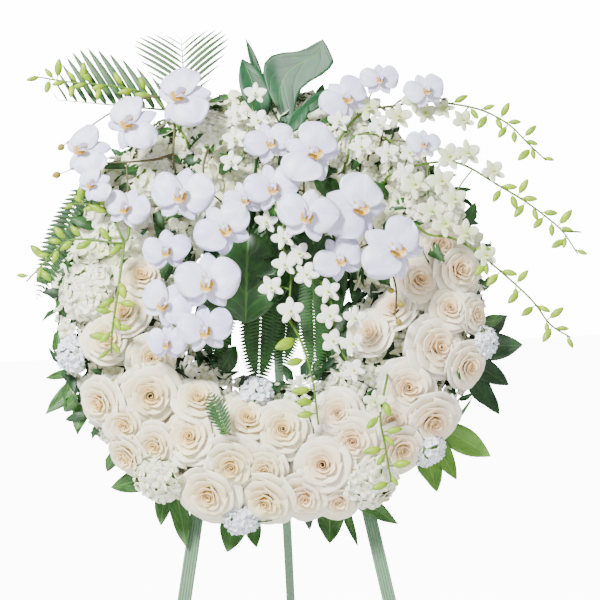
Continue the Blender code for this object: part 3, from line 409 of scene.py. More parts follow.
def sight(x, y, w):
    """The point at height w over the face that shows at (x, y) in view; millimetres in."""
    seen_at = upright(x, y)
    base = Vector((seen_at.x, seen_at.y * math.cos(LEAN), seen_at.y * math.sin(LEAN)))
    return base + (VIEW - base) * ((w * MM - base.z) / (VIEW.z - base.z))


def lay(base, tip, roll=0.0):
    """The matrix that lays a leaf's +X from base to tip, its face turned to the viewer."""
    along = (tip - base).normalized()
    across = Vector((0, 0, 1)).cross(along).normalized()
    turned = Matrix((along, across, along.cross(across))).transposed().to_4x4()
    return Matrix.Translation(base) @ turned @ Matrix.Rotation(roll, 4, "X")


def patch(shape, rows, columns, tint=0.0):
    """A sheet of quads: shape takes grids of across, -1 to 1, and along, 0 to 1."""
    share = (1 - np.cos(np.pi * np.linspace(0, 1, rows + 1))) / 2
    along, across = np.meshgrid(share, np.linspace(-1, 1, columns + 1), indexing="ij")
    points = np.stack(np.broadcast_arrays(*shape(across, along)), axis=-1).reshape(-1, 3)
    corner = (np.arange(rows)[:, None] * (columns + 1) + np.arange(columns)).ravel()
    faces = np.stack([corner, corner + 1, corner + columns + 2, corner + columns + 1], axis=1)
    return {
        "points": points, "faces": faces.tolist(), "along": along.ravel(),
        "across": across.ravel(), "tint": np.full(along.size, tint),
    }


def rod(line, radii, sides=6, tint=0.0):
    """A closed round body along a line of points, with a radius at each point."""
    line = [Vector(p) for p in line]
    face = (line[1] - line[0]).orthogonal().normalized()
    points, along = [], []
    for i, (spot, radius) in enumerate(zip(line, radii)):
        run = (line[min(i + 1, len(line) - 1)] - line[max(i - 1, 0)]).normalized()
        face = (face - run * face.dot(run)).normalized()
        other = run.cross(face)
        for k in range(sides):
            turn = 2 * math.pi * k / sides
            points.append(spot + (face * math.cos(turn) + other * math.sin(turn)) * radius)
            along.append(i / (len(line) - 1))
    faces = [list(range(sides))[::-1]]
    for i in range(len(line) - 1):
        for k in range(sides):
            n = (k + 1) % sides
            low, high = i * sides, (i + 1) * sides
            faces.append([low + k, low + n, high + n, high + k])
    faces.append([(len(line) - 1) * sides + k for k in range(sides)])
    count = len(points)
    return {
        "points": np.array([tuple(p) for p in points]), "faces": faces, "along": np.array(along),
        "across": np.full(count, 0.5), "tint": np.full(count, tint),
    }


def moved(part, matrix):
    """A patch put in another place."""
    grid = np.array(matrix)
    return dict(part, points=part["points"] @ grid[:3, :3].T + grid[:3, 3])


def mesh_of(parts, thickness=0.0):
    """One plain mesh of several patches, given a thickness where they are open sheets."""
    mesh = bpy.data.meshes.new("piece")
    starts = np.cumsum([0] + [len(p["points"]) for p in parts])
    faces = [[v + int(start) for v in face] for p, start in zip(parts, starts) for face in p["faces"]]
    mesh.from_pydata(np.concatenate([p["points"] for p in parts]).tolist(), [], faces)
    for label in ("along", "across", "tint"):
        values = np.concatenate([p[label] for p in parts]).astype(np.float32)
        mesh.attributes.new(label, "FLOAT", "POINT").data.foreach_set("value", values)
    weld = bmesh.new()
    weld.from_mesh(mesh)
    bmesh.ops.remove_doubles(weld, verts=weld.verts, dist=2e-6)
    if not thickness:
        bmesh.ops.recalc_face_normals(weld, faces=weld.faces)
    weld.to_mesh(mesh)
    weld.free()
    if not thickness:
        return mesh
    item = placed("sheet", mesh)
    wall = item.modifiers.new("wall", "SOLIDIFY")
    wall.thickness = thickness
    wall.offset = 0.0
    graph = bpy.context.evaluated_depsgraph_get()
    thick = bpy.data.meshes.new_from_object(item.evaluated_get(graph))
    bpy.data.objects.remove(item, do_unlink=True)
    bpy.data.meshes.remove(mesh)
    return thick


def joined(*meshes):
    """Several plain meshes as one."""
    whole = bmesh.new()
    for mesh in meshes:
        whole.from_mesh(mesh)
    out = bpy.data.meshes.new("piece")
    for label in ("along", "across", "tint"):
        out.attributes.new(label, "FLOAT", "POINT")
    whole.to_mesh(out)
    whole.free()
    for mesh in meshes:
        bpy.data.meshes.remove(mesh)
    return out


def leaf_sheet(length, width, arch=0.05, fold=0.2, wave=0.0, belly=0.8, slits=(), sweep=0.1, rows=14,
               columns=6, tint=0.0, full=0.85):
    """A leaf along +X: pointed at its tip, folded along its rib, waved at its margin."""
    def shape(across, along):
        reach = width / 2 * np.sin(np.pi * np.clip(along, 0, 1) ** belly) ** full
        for at, size, depth, hand in slits:
            cut = np.exp(-((along - at) / size) ** 4)
            reach = reach * (1 - depth * cut * (across * hand > 0))
        y = reach * across
        x = length * (along + sweep * np.abs(across) * along * (1 - along))
        z = arch * length * np.sin(np.pi * along) + fold * np.abs(y)
        z = z + wave * np.abs(across) ** 2 * np.sin(14 * along + 2.5 * across)
        return x, y, z
    return patch(shape, rows, columns, tint)


for name, middle, tips in RIM_TWIGS:
    draw = random.Random(middle)
    mid = math.radians(middle) - VIEW_TURN
    outward = Vector((math.cos(mid), math.sin(mid), 0))
    sideways = Vector((-outward.y, outward.x, 0))
    inner = outward * (FOAM_OUT - 0.030) + Vector((0, 0, 0.031))
    mouth = outward * (FOAM_OUT + 0.006) + Vector((0, 0, 0.031))
    joint = outward * (FOAM_OUT + 0.018) + Vector((0, 0, 0.008))
    fork = [joint + sideways * (0.016 * (n - (len(tips) - 1) / 2)) for n in range(len(tips))]
    twig = [
        rod([inner, mouth, joint], [0.0022, 0.0022, 0.0020]),
        rod([fork[0], fork[-1]], [0.0018, 0.0018]),
    ]
    sheets = []
    for number, ((x, y, width), base) in enumerate(zip(tips, fork)):
        tip = sight(x, y, 10 - 3 * (number % 2))
        sheet = leaf_sheet(
            (tip - base).length, width * MM, arch=-0.05, fold=0.22, wave=0.0022,
            belly=draw.uniform(0.66, 0.9), tint=draw.uniform(0, 0.5), sweep=0.06,
        )
        sheets.append(moved(sheet, lay(base, tip, 0.25 * (number - 1))))
    tone = PALE_GREEN if name == "rim_leaves_low_right" else RIM_GREEN
    if name == "rim_leaves_right":
        tone = DARK_GREEN
    leaves = piece(f"{name}_veined", joined(mesh_of(sheets, LEAF_THICK), mesh_of(twig)), tone)
    ended(leaves, WREATH, "leaf", name)


# The large leaves: a broad glossy leaf that stands at the top, and a slit one that hangs
# over the ring's hole, each on its own stalk in the foam.
FOAM_TOP = 0.085
BROAD_THICK = 0.0009


def root(x, y, top=0.142):
    """A stem's start, straight up out of the foam at (x, y) on the face."""
    place = upright(x, y)
    return [Vector((*place, FOAM_TOP - 0.030)), Vector((*place, top))]


TOP_GREEN = leaf_finish(
    "broad_leaf", srgb(6, 48, 24), srgb(24, 82, 42), srgb(84, 142, 58), 0.52, (8.0, 3.5), 0.03, 0.030,
)
SLIT_GREEN = leaf_finish(
    "slit_leaf", srgb(10, 48, 18), srgb(32, 84, 22), srgb(72, 120, 44), 0.38, (10.0, 4.0),
)
# The broad leaf is seen aslant. Its margin up each side, from the stalk to the tip, as it shows.
TOP_LEAF_LEFT = (
    (31, 290), (22, 305), (8, 332), (-5, 360), (-12, 385), (-10, 404),
    (2, 418), (22, 422), (44, 422), (60, 427), (76, 436), (87, 441),
)
TOP_LEAF_RIGHT = (
    (31, 290), (36, 305), (41, 322), (44, 340), (51, 358), (66, 370),
    (86, 380), (100, 391), (106, 401), (102, 412), (95, 428), (87, 441),
)
TOP_LEAF_W = 112
TOP_LEAF_BACK = 0.10
TOP_LEAF_CUP = 0.16
base = sight(*TOP_LEAF_LEFT[0], TOP_LEAF_W)
rib_line = (sight(2, 418, TOP_LEAF_W) - base).normalized()


def margin_sheet(left, right, w, rows, columns):
    """A leaf between two given margins, cupped and leaning back from its base."""
    knots = np.linspace(0, 1, len(left))
    sides = [np.array([(sight(x, y, w) - base)[:2] for x, y in side]) for side in (left, right)]

    def shape(across, along):
        low, high = (
            np.stack([np.interp(along, knots, side[:, axis]) for axis in (0, 1)]) for side in sides
        )
        share = (across + 1) / 2
        x, y = low * (1 - share) + high * share
        off = np.abs(x * rib_line.y - y * rib_line.x)
        ripple = 0.0010 * np.sin(7 * along + 3 * across) * np.abs(across)
        return x, y, TOP_LEAF_CUP * off - TOP_LEAF_BACK * y + ripple
    return patch(shape, rows, columns)


stalk_line = root(20, 272) + [base + rib_line * 0.006]
broad = moved(margin_sheet(TOP_LEAF_LEFT, TOP_LEAF_RIGHT, TOP_LEAF_W, 36, 14), Matrix.Translation(base))
broad_mesh = joined(mesh_of([broad], BROAD_THICK), mesh_of([rod(stalk_line, [0.0024] * 3, 8)]))
ended(piece("top_leaf_broad", broad_mesh, TOP_GREEN), WREATH, "leaf", "top_leaf")

# Four smaller leaves stand round its foot: two in front at the right, two behind at the left.
SMALL_TOP_LEAVES = (
    ((46, 316), (109, 360), 122, 24, 0.1), ((30, 286), (64, 334), 128, 26, 0.8),
    ((-8, 312), (-46, 408), 98, 50, 0.4), ((-10, 350), (-40, 441), 92, 15, 0.0),
)
small_leaves, small_stalks = [], []
for start, end, w, width, tint in SMALL_TOP_LEAVES:
    foot, point = sight(*start, w), sight(*end, w - 4)
    sheet = leaf_sheet((point - foot).length, width * MM, 0.05, 0.2, 0.0012, belly=0.75, tint=tint)
    small_leaves.append(moved(sheet, lay(foot, point, 0.15)))
    small_stalks.append(rod([stalk_line[0] * 0.3 + stalk_line[1] * 0.7, foot], [0.0018, 0.0014]))
small_mesh = joined(mesh_of(small_leaves, LEAF_THICK), mesh_of(small_stalks))
ended(piece("top_small_leaves", small_mesh, TOP_GREEN), WREATH, "leaf")

base, tip = sight(-36, 122, 118), sight(-40, -28, 96)
# Slits: place along the leaf, half width and depth as shares, and the side that is cut.
SLITS = (
    (0.24, 0.022, 0.40, 1), (0.44, 0.028, 0.55, 1), (0.66, 0.020, 0.35, 1),
    (0.36, 0.022, 0.45, -1), (0.58, 0.022, 0.40, -1),
)
slit = leaf_sheet(
    (tip - base).length, 0.108, arch=0.05, fold=0.16, wave=0.002, belly=0.85, slits=SLITS, rows=60,
    columns=10, sweep=0.35, full=0.6,
)
stalk_line = root(-18, 208) + [sight(-34, 150, 124), base + (tip - base) * 0.08]
slit_mesh = joined(
    mesh_of([moved(slit, lay(base, tip))], BROAD_THICK), mesh_of([rod(stalk_line, [0.0024] * 4, 8)]),
)
ended(piece("centre_leaf_slit", slit_mesh, SLIT_GREEN), WREATH, "leaf", "centre_leaf")

# Darker leaves hang behind it from the upper inner edge of the ring.
hanging_leaves, hanging_stems = [], []
for start, end, w, width in (
    ((18, 150), (14, 6), 62, 78), ((66, 148), (84, 22), 58, 74), ((-66, 140), (-92, 26), 56, 62),
    ((44, 150), (52, -22), 48, 60), ((96, 120), (112, -26), 60, 52), ((-112, 20), (-64, -66), 52, 44),
    ((128, 0), (82, -66), 56, 40), ((-4, 150), (-40, 40), 52, 66), ((-84, -112), (-56, -66), 58, 34),
):
    foot, point = sight(*start, w), sight(*end, w - 8)
    sheet = leaf_sheet((point - foot).length, width * MM, 0.06, 0.2, 0.002, belly=0.75, rows=18)
    hanging_leaves.append(moved(sheet, lay(foot, point, 0.1)))
    outward = Vector((foot.x, foot.y, 0)).normalized()
    hanging_stems.append(rod([outward * 0.190 + Vector((0, 0, 0.070)), foot], [0.0016, 0.0013]))
hanging_mesh = joined(mesh_of(hanging_leaves, LEAF_THICK), mesh_of(hanging_stems))
ended(piece("inner_large_leaves", hanging_mesh, SLIT_GREEN), WREATH, "leaf")


# Fronds: feather palm at the upper left, and sword fern down the ring's hole, on the left
# rim and among the roses. Each is a rib with pairs of leaflets set along it.
FERN_GREEN = leaf_finish("fern_frond", srgb(10, 46, 14), srgb(38, 92, 26), srgb(60, 108, 36), 0.5)
PALM_GREEN = leaf_finish("palm_frond", srgb(20, 58, 24), srgb(48, 94, 38), srgb(76, 120, 54), 0.45)


def geometry_tree(name, sockets):
    """An empty geometry tree with named inputs, and the sockets to wire inside it."""
    made = bpy.data.node_groups.new(name, "GeometryNodeTree")
    made.interface.new_socket("Geometry", in_out="INPUT", socket_type="NodeSocketGeometry")
    for label, kind in sockets:
        made.interface.new_socket(label, in_out="INPUT", socket_type=f"NodeSocket{kind}")
    made.interface.new_socket("Geometry", in_out="OUTPUT", socket_type="NodeSocketGeometry")
    return made, made.nodes.new("NodeGroupInput").outputs, made.nodes.new("NodeGroupOutput").inputs


def grown(item, tree_of, values):
    """The plain mesh that a geometry tree makes from an object, which is used up."""
    step = item.modifiers.new("grow", "NODES")
    step.node_group = tree_of
    for socket in tree_of.interface.items_tree:
        if socket.in_out == "INPUT" and socket.name in values:
            step[socket.identifier] = values[socket.name]
    bpy.context.view_layer.update()
    graph = bpy.context.evaluated_depsgraph_get()
    mesh = bpy.data.meshes.new_from_object(item.evaluated_get(graph))
    item.modifiers.remove(step)
    bpy.data.objects.remove(item, do_unlink=True)
    return mesh


# Frond: leaflets at both sides of a rib, longest below its middle and swept to its tip.
frond, taken, given = geometry_tree("frond", [
    ("Leaflet", "Object"), ("Pairs", "Int"), ("Longest", "Float"), ("Sweep", "Float"),
    ("Face", "Vector"), ("Rib", "Float"), ("Finish", "Material"), ("Both Sides", "Bool"),
])
rib_spots = node(frond, "GeometryNodeResampleCurve", {"Curve": taken["Geometry"], "Count": taken["Pairs"]})
rib_share = node(frond, "GeometryNodeSplineParameter").outputs["Factor"]
along_rib = node(frond, "FunctionNodeAlignRotationToVector", {
    "Vector": node(frond, "GeometryNodeInputTangent").outputs[0],
}, axis="X")
flat_on = node(frond, "FunctionNodeAlignRotationToVector", {
    "Rotation": along_rib.outputs[0], "Vector": taken["Face"],
}, axis="Z", pivot_axis="X")
swell = math_node(frond, "MULTIPLY_ADD", rib_share, 0.76 * math.pi, 0.20 * math.pi)
size = math_node(frond, "MULTIPLY", math_node(frond, "SINE", swell), taken["Longest"])
leaflet_of = node(frond, "GeometryNodeObjectInfo", {"Object": taken["Leaflet"]})
frond_parts = node(frond, "GeometryNodeJoinGeometry")
FOLD_SIDE = -1
for hand in (1, -1):
    turn = math_node(frond, "MULTIPLY", taken["Sweep"], hand)
    turned = node(frond, "FunctionNodeRotateRotation", {
        "Rotation": flat_on.outputs[0],
        "Rotate By": node(frond, "FunctionNodeEulerToRotation", {
            "Euler": node(frond, "ShaderNodeCombineXYZ", {"Z": turn}).outputs[0],
        }).outputs[0],
    }, rotation_space="LOCAL")
    row = node(frond, "GeometryNodeInstanceOnPoints", {
        "Points": rib_spots.outputs[0], "Instance": leaflet_of.outputs["Geometry"],
        "Rotation": turned.outputs[0], "Scale": size,
    })
    kept = row if hand == FOLD_SIDE else node(frond, "GeometryNodeSwitch", {
        "Switch": taken["Both Sides"], "True": row.outputs[0],
    }, input_type="GEOMETRY")
    frond.links.new(kept.outputs[0], frond_parts.inputs[0])
taper = math_node(frond, "MULTIPLY", math_node(frond, "MULTIPLY_ADD", rib_share, -0.7, 1.0), taken["Rib"])
rib_body = node(frond, "GeometryNodeCurveToMesh", {
    "Curve": taken["Geometry"], "Scale": taper, "Fill Caps": True,
    "Profile Curve": node(frond, "GeometryNodeCurvePrimitiveCircle", {
        "Resolution": 6, "Radius": 1.0,
    }).outputs[0],
})
frond.links.new(rib_body.outputs[0], frond_parts.inputs[0])
real = node(frond, "GeometryNodeRealizeInstances", {"Geometry": frond_parts.outputs[0]})
painted = node(frond, "GeometryNodeSetMaterial", {
    "Geometry": real.outputs[0], "Material": taken["Finish"],
})
frond.links.new(painted.outputs[0], given["Geometry"])


def small_part(name, parts, thickness=0.0):
    """An object that a geometry tree repeats."""
    item = placed(name, mesh_of(parts, thickness))
    item.data.shade_smooth()
    return item


def cleared(*parts):
    """Remove the small parts once their section is done."""
    for part in parts:
        bpy.data.objects.remove(part, do_unlink=True)


def curve_line(points):
    """A smooth open curve through a list of points."""
    data = bpy.data.curves.new("line", "CURVE")
    data.dimensions = "3D"
    data.resolution_u = 8
    spline = data.splines.new("BEZIER")
    spline.bezier_points.add(len(points) - 1)
    for spot, place in zip(spline.bezier_points, points):
        spot.co = place
        spot.handle_left_type = spot.handle_right_type = "AUTO"
    return placed("line", data)


def frond_mesh(base, tip, width, pairs, leaflet, sweep, rib_radius, finish, folded=False, droop=0.0):
    """A frond from base to tip; a folded one shows its leaflets along one side alone."""
    middle = (base + tip) / 2 + Vector((0, 0, droop))
    face = (tip - base).cross(Vector((0, 0, 1)).cross(tip - base)).normalized()
    return grown(curve_line([base, middle, tip]), frond, {
        "Leaflet": leaflet, "Pairs": pairs, "Longest": width, "Sweep": math.radians(sweep),
        "Face": tuple(face), "Rib": rib_radius, "Finish": finish, "Both Sides": not folded,
    })


FERN_RIB = 0.0012
fern_leaflet = small_part("fern_leaflet", [
    leaf_sheet(1.0, 0.30, arch=0.02, fold=0.15, belly=0.45, rows=5, columns=2, sweep=0.0, full=0.6),
], 0.02)
palm_leaflet = small_part("palm_leaflet", [
    leaf_sheet(1.0, 0.105, arch=0.05, fold=0.25, belly=0.62, rows=7, columns=2, sweep=0.0, full=0.55),
], 0.008)
palm_leaflet_thin = small_part("palm_leaflet_thin", [
    leaf_sheet(1.0, 0.065, arch=0.05, fold=0.25, belly=0.75, rows=7, columns=2, sweep=0.0, full=0.6),
], 0.008)

base, tip = sight(-312, 190, 96), sight(-384, 12, 50)
left = frond_mesh(base, tip, 0.030, 26, fern_leaflet, 68, FERN_RIB, FERN_GREEN, droop=0.006)
stalk_line = root(-226, 178, 0.10) + [base + (tip - base) * 0.01]
ended(piece("fern_left_frond", joined(left, mesh_of([rod(stalk_line, [0.0016] * 3)])), FERN_GREEN),
      WREATH, "leaf", "fern_left")

hanging = []
fork_place = sight(6, 160, 88)
hanging_stalks = [rod(root(8, 182, 0.095) + [fork_place], [0.0022] * 3)]
for start, end, width, pairs, sweep in (
    ((-12, 60, 68), (-20, -146, 58), 36, 36, 74), ((-62, 70, 78), (-98, -112, 66), 27, 36, 74),
    ((70, 60, 78), (76, -128, 62), 29, 36, 74), ((-90, 40, 50), (-94, -122, 52), 30, 32, 70),
    ((98, 20, 56), (104, -150, 60), 30, 32, 70), ((34, 40, 46), (20, -112, 48), 28, 32, 70),
):
    base, tip = sight(*start), sight(*end)
    hanging_stalks.append(rod([fork_place, base + (tip - base) * 0.01], [0.0018, 0.0014]))
    hanging.append(frond_mesh(base, tip, width * MM, pairs, fern_leaflet, sweep, FERN_RIB, FERN_GREEN))
ended(piece("ferns_centre_fronds", joined(*hanging, mesh_of(hanging_stalks)), FERN_GREEN),
      WREATH, "leaf", "ferns_centre")

base, tip = sight(-72, -210, 152), sight(-100, -140, 156)
small_fern = frond_mesh(base, tip, 0.020, 14, fern_leaflet, 62, 0.001, FERN_GREEN)
stalk_line = root(-70, -226) + [base + (tip - base) * 0.01]
ended(piece("fern_tip_frond", joined(small_fern, mesh_of([rod(stalk_line, [0.0016] * 3)])), FERN_GREEN),
      WREATH, "leaf", "fern_tip")

palm_foot = root(-150, 246, 0.092)
palm_stalks = [rod(palm_foot, [0.0024, 0.0024])]
palms = []
for start, end, width, pairs, folded in (
    ((-158, 322, 98), (-350, 340, 104), 0.118, 13, True),
    ((-140, 340, 96), (-146, 440, 84), 0.100, 11, False),
):
    base, tip = sight(*start), sight(*end)
    palm_stalks.append(rod([palm_foot[1], base + (tip - base) * 0.01], [0.0024, 0.0022]))
    strips = palm_leaflet if folded else palm_leaflet_thin
    palms.append(frond_mesh(base, tip, width, pairs, strips, 52, 0.002, PALM_GREEN, folded))
ended(piece("palm_fronds_feathered", joined(*palms, mesh_of(palm_stalks)), PALM_GREEN),
      WREATH, "leaf", "palm_fronds")
cleared(fern_leaflet, palm_leaflet, palm_leaflet_thin)


# Roses. Cream garden roses with peach hearts, cut short and pushed close together, so that
# their outer petals press on each other. Each has a wound heart and five rows of petals.
RING_MID = 0.240
NEST_RADIAL = 0.125
NEST_OUT = 0.066
NEST_BASE = 0.045
STEM_REACH = 0.066
ROSES = {
    "roses_left_high": [(-214, 46, 37), (-240, -12, 40), (-269, -57, 38)],
    "roses_left_mid": [(-197, -147, 47), (-197, -88, 38), (-238, -194, 34), (-276, -158, 40)],
    "roses_left_low": [(-130, -218, 43), (-120, -156, 37), (-188, -228, 36), (-232, -246, 36)],
    "roses_bottom_left": [(-64, -261, 46), (-4, -318, 43), (-98, -308, 46), (-8, -268, 34)],
    "roses_bottom_inner": [(20, -206, 43), (-38, -190, 41)],
    "roses_bottom_right": [(88, -262, 48), (58, -312, 40), (112, -316, 37), (138, -220, 42),
                           (112, -178, 38)],
    "roses_right_low": [(214, -233, 42), (202, -187, 36), (225, -136, 45), (266, -186, 45)],
    "roses_right_mid": [(272, -68, 48), (322, -98, 38), (295, -6, 38), (334, -14, 30)],
    "roses_right_high": [(244, 41, 41), (308, 59, 41), (281, 99, 38), (206, -7, 36), (168, -45, 37)],
}
# Rows from the heart out: petals, half span, foot, reach, low, high, curl; shares of the radius.
PETAL_ROWS = (
    (3, 1.30, 0.08, 0.22, -0.10, 0.52, 0.03),
    (4, 1.10, 0.12, 0.34, -0.15, 0.50, 0.06),
    (4, 1.05, 0.16, 0.50, -0.20, 0.45, 0.11),
    (5, 0.90, 0.20, 0.68, -0.28, 0.34, 0.19),
    (5, 0.88, 0.24, 0.88, -0.36, 0.15, 0.20),
)


PETAL_FOOT = srgb(226, 176, 96)
PETAL_THICK = 0.0006


def rose_finish(name, light, dark, heart):
    """Soft rose petal: drifts between two creams, deeper at the heart and at each petal's foot."""
    made, tree, shader = finish_of(
        name, 0.52, Sheen_Weight=0.25, Sheen_Roughness=0.4, Subsurface_Weight=0.12, Subsurface_Scale=0.006,
    )
    cream = mottled(tree, light, dark, 34.0)
    fine = veined(tree, 0.0, 16.0, 0.01)
    warmth = mixed(tree, fine["Tint"], cream["Colour"], heart)
    foot_share = ranged(tree, fine["Along"], 0.05, 0.60, 0.7, 0.0)
    tree.links.new(mixed(tree, foot_share, warmth, PETAL_FOOT), shader.inputs["Base Color"])
    bump(tree, shader, fine["Lines"], 0.12, 0.0004)
    return made


cream_rose = rose_finish("cream_rose", srgb(252, 246, 226), srgb(245, 234, 200), srgb(246, 216, 150))
blush_rose = rose_finish("blush_rose", srgb(252, 245, 230), srgb(247, 234, 210), srgb(246, 214, 164))


def nest(x, y):
    """Place and direction of a flower head that sits round the foam at (x, y) in view."""
    w = 100.0
    for _ in range(5):
        spot = sight(x, y, w)
        far = math.hypot(spot.x, spot.y)
        tilt = math.asin(max(-0.95, min(0.95, (far - RING_MID) / NEST_RADIAL)))
        w = (NEST_BASE + NEST_OUT * math.cos(tilt)) / MM
    round_angle = math.atan2(spot.y, spot.x)
    radial = Vector((math.cos(round_angle), math.sin(round_angle), 0))
    centre = radial * (RING_MID + NEST_RADIAL * math.sin(tilt)) + Vector((0, 0, w * MM))
    return centre, radial * math.sin(tilt) + Vector((0, 0, math.cos(tilt)))


def aim(place, out, turn=0.0):
    """The matrix that stands a shape's Z along out at place, turned about it."""
    spin = Quaternion((0, 0, 1), turn)
    return Matrix.Translation(place) @ (Vector(out).to_track_quat("Z", "Y") @ spin).to_matrix().to_4x4()


def rose_petal(radius, turn, row, draw, tint):
    """One petal: a cupped sheet that wraps the heart and rolls its rim outward."""
    count, span, foot, reach, low, high, curl = row
    span = span * draw.uniform(0.92, 1.08)
    high = high * draw.uniform(0.93, 1.05)
    curl = curl * draw.uniform(0.8, 1.25)
    phase = draw.uniform(0, 6.28)
    point = draw.uniform(0.02, 0.10)

    def shape(across, along):
        wide = span * (0.35 + 0.65 * np.sin(np.pi / 2 * np.minimum(1.0, along * 1.5)))
        angle = turn + across * wide
        far = foot + (reach - foot) * along ** 1.2 + 0.045 * across * along
        up = low + (high - low) * along ** 0.85
        side = np.abs(across)
        up = up - (high - low) * 0.30 * side ** 3 * along
        rim = np.clip((along - 0.62) / 0.38, 0, 1)
        roll = curl * rim ** 1.6
        far = far + roll + point * rim * np.exp(-(side / 0.35) ** 2) * (curl > 0.05)
        up = up - 0.55 * roll * rim + 0.02 * np.sin(5 * across + phase) * along
        far = far + 0.015 * np.sin(4 * across + phase) * along
        return radius * far * np.cos(angle), radius * far * np.sin(angle), radius * up
    return patch(shape, 8, 8, tint)


def rose_heart(radius, turn):
    """The wound middle: one long petal rolled two and a half times."""
    def shape(across, along):
        wind = (across + 1) / 2
        angle = turn + wind * 5.0 * math.pi
        far = 0.03 + 0.17 * wind + 0.02 * along
        up = -0.05 + (0.50 - 0.02 * wind + 0.015 * np.sin(9 * wind)) * along ** 0.9
        return radius * far * np.cos(angle), radius * far * np.sin(angle), radius * up
    return patch(shape, 4, 56, 1.0)


for name, rows in ROSES.items():
    draw = random.Random(name)
    petals, stems = [], []
    for number, (x, y, radius) in enumerate(rows):
        centre, out = nest(x, y)
        nod = Vector((draw.uniform(-1, 1), draw.uniform(-1, 1), 0)) * 0.26
        stand = aim(centre, (out + nod).normalized(), 1.3 * number + 0.01 * x)
        parts = [rose_heart(radius * MM, draw.uniform(0, 6.28))]
        for level_of, row in enumerate(PETAL_ROWS):
            start = draw.uniform(0, 6.28)
            for k in range(row[0]):
                turn = start + 2 * math.pi * k / row[0] + draw.uniform(-0.12, 0.12)
                parts.append(rose_petal(radius * MM, turn, row, draw, 0.8 - 0.2 * level_of))
        petals += [moved(part, stand) for part in parts]
        stems.append(rod([centre - out * STEM_REACH, centre], [0.0022, 0.0022]))
    tone = blush_rose if "right" in name else cream_rose
    ended(piece(f"{name}_petals", mesh_of(petals, PETAL_THICK), tone), WREATH, "rose_petal", name)
    ended(piece(f"{name}_stems", mesh_of(stems), RIM_GREEN), WREATH, "leaf")


# Hydrangea and stock. Hydrangea heads are domes of four-petalled florets with a green eye,
# and stock is a short spike of crinkled white florets; both fill in between the roses.
FLORET_HEADS = {
    "hydrangea_left": [(-300, 26, 48)],
    "hydrangea_left_low": [(-185, -285, 42)],
    "hydrangea_bottom_right": [(165, -292, 46)],
    "hydrangea_right_high": [(270, 165, 50), (222, 224, 40)],
    "hydrangea_left_high": [(-240, 135, 49), (-196, 210, 38)],
    "hydrangea_top_left": [(-98, 284, 38), (-30, 282, 38)],
    "hydrangea_top_right": [(150, 270, 40), (88, 261, 35)],
    "stock_left": [(-325, -80, 26)],
    "stock_bottom": [(-48, -352, 26)],
    "stock_inner": [(-22, -144, 24)],
    "stock_right": [(352, -60, 24)],
    "stock_right_low": [(262, -236, 26)],
}
HEAD_SQUASH = 0.46
DOME_RINGS = 7
DOME_SIDES = 20
DOME_STEP = math.radians(15)


def floret_finish(name, light, dark, throat):
    """Thin floret petal: two whites that drift into each other and a tinted eye."""
    made, tree, shader = finish_of(
        name, 0.55, Sheen_Weight=0.2, Subsurface_Weight=0.12, Subsurface_Scale=0.004,
    )
    pale = mottled(tree, light, dark, 26.0)
    eye = veined(tree, 0.0, 8.0, 0.01)
    eye_share = ranged(tree, eye["Along"], 0.02, 0.36, 0.8, 0.0)
    tree.links.new(mixed(tree, eye_share, pale["Colour"], throat), shader.inputs["Base Color"])
    bump(tree, shader, eye["Lines"], 0.1, 0.0003)
    return made


HYDRANGEA_WHITE = floret_finish(
    "hydrangea_petal", srgb(252, 251, 236), srgb(240, 240, 208), srgb(206, 210, 110),
)
STOCK_WHITE = floret_finish(
    "stock_petal", srgb(248, 250, 255), srgb(228, 234, 248), srgb(196, 210, 130),
)
IVORY_GREEN = floret_finish(
    "small_orchid_petal", srgb(252, 251, 230), srgb(236, 240, 186), srgb(176, 198, 60),
)

# Strew: copies of a small part over a surface, each turned and sized at random.
strew, taken, given = geometry_tree("strew", [
    ("Part", "Object"), ("Spacing", "Float"), ("Size", "Float"), ("Vary", "Float"),
    ("Tilt", "Float"), ("Seed", "Int"), ("Finish", "Material"),
])
spots = node(strew, "GeometryNodeDistributePointsOnFaces", {
    "Mesh": taken["Geometry"], "Distance Min": taken["Spacing"], "Density Max": 60000.0,
    "Seed": taken["Seed"],
}, distribute_method="POISSON")
tilt_back = math_node(strew, "MULTIPLY", taken["Tilt"], -1.0)
lowest = node(strew, "ShaderNodeCombineXYZ", {"X": tilt_back, "Y": tilt_back, "Z": 0.0})
highest = node(strew, "ShaderNodeCombineXYZ", {"X": taken["Tilt"], "Y": taken["Tilt"], "Z": 6.283})
spin = node(strew, "FunctionNodeRandomValue", {
    0: lowest.outputs[0], 1: highest.outputs[0], "Seed": taken["Seed"],
}, data_type="FLOAT_VECTOR")
turned = node(strew, "FunctionNodeRotateRotation", {
    "Rotation": spots.outputs["Rotation"],
    "Rotate By": node(strew, "FunctionNodeEulerToRotation", {"Euler": spin.outputs[0]}).outputs[0],
}, rotation_space="LOCAL")
chance = node(strew, "FunctionNodeRandomValue", {2: -1.0, 3: 1.0, "Seed": taken["Seed"]}, data_type="FLOAT")
grow_by = math_node(strew, "MULTIPLY_ADD", chance.outputs[1], taken["Vary"], 1.0)
copies = node(strew, "GeometryNodeInstanceOnPoints", {
    "Points": spots.outputs["Points"], "Rotation": turned.outputs[0],
    "Instance": node(strew, "GeometryNodeObjectInfo", {"Object": taken["Part"]}).outputs["Geometry"],
    "Scale": math_node(strew, "MULTIPLY", grow_by, taken["Size"]),
})
real = node(strew, "GeometryNodeRealizeInstances", {"Geometry": copies.outputs[0]})
painted = node(strew, "GeometryNodeSetMaterial", {"Geometry": real.outputs[0], "Material": taken["Finish"]})
strew.links.new(painted.outputs[0], given["Geometry"])


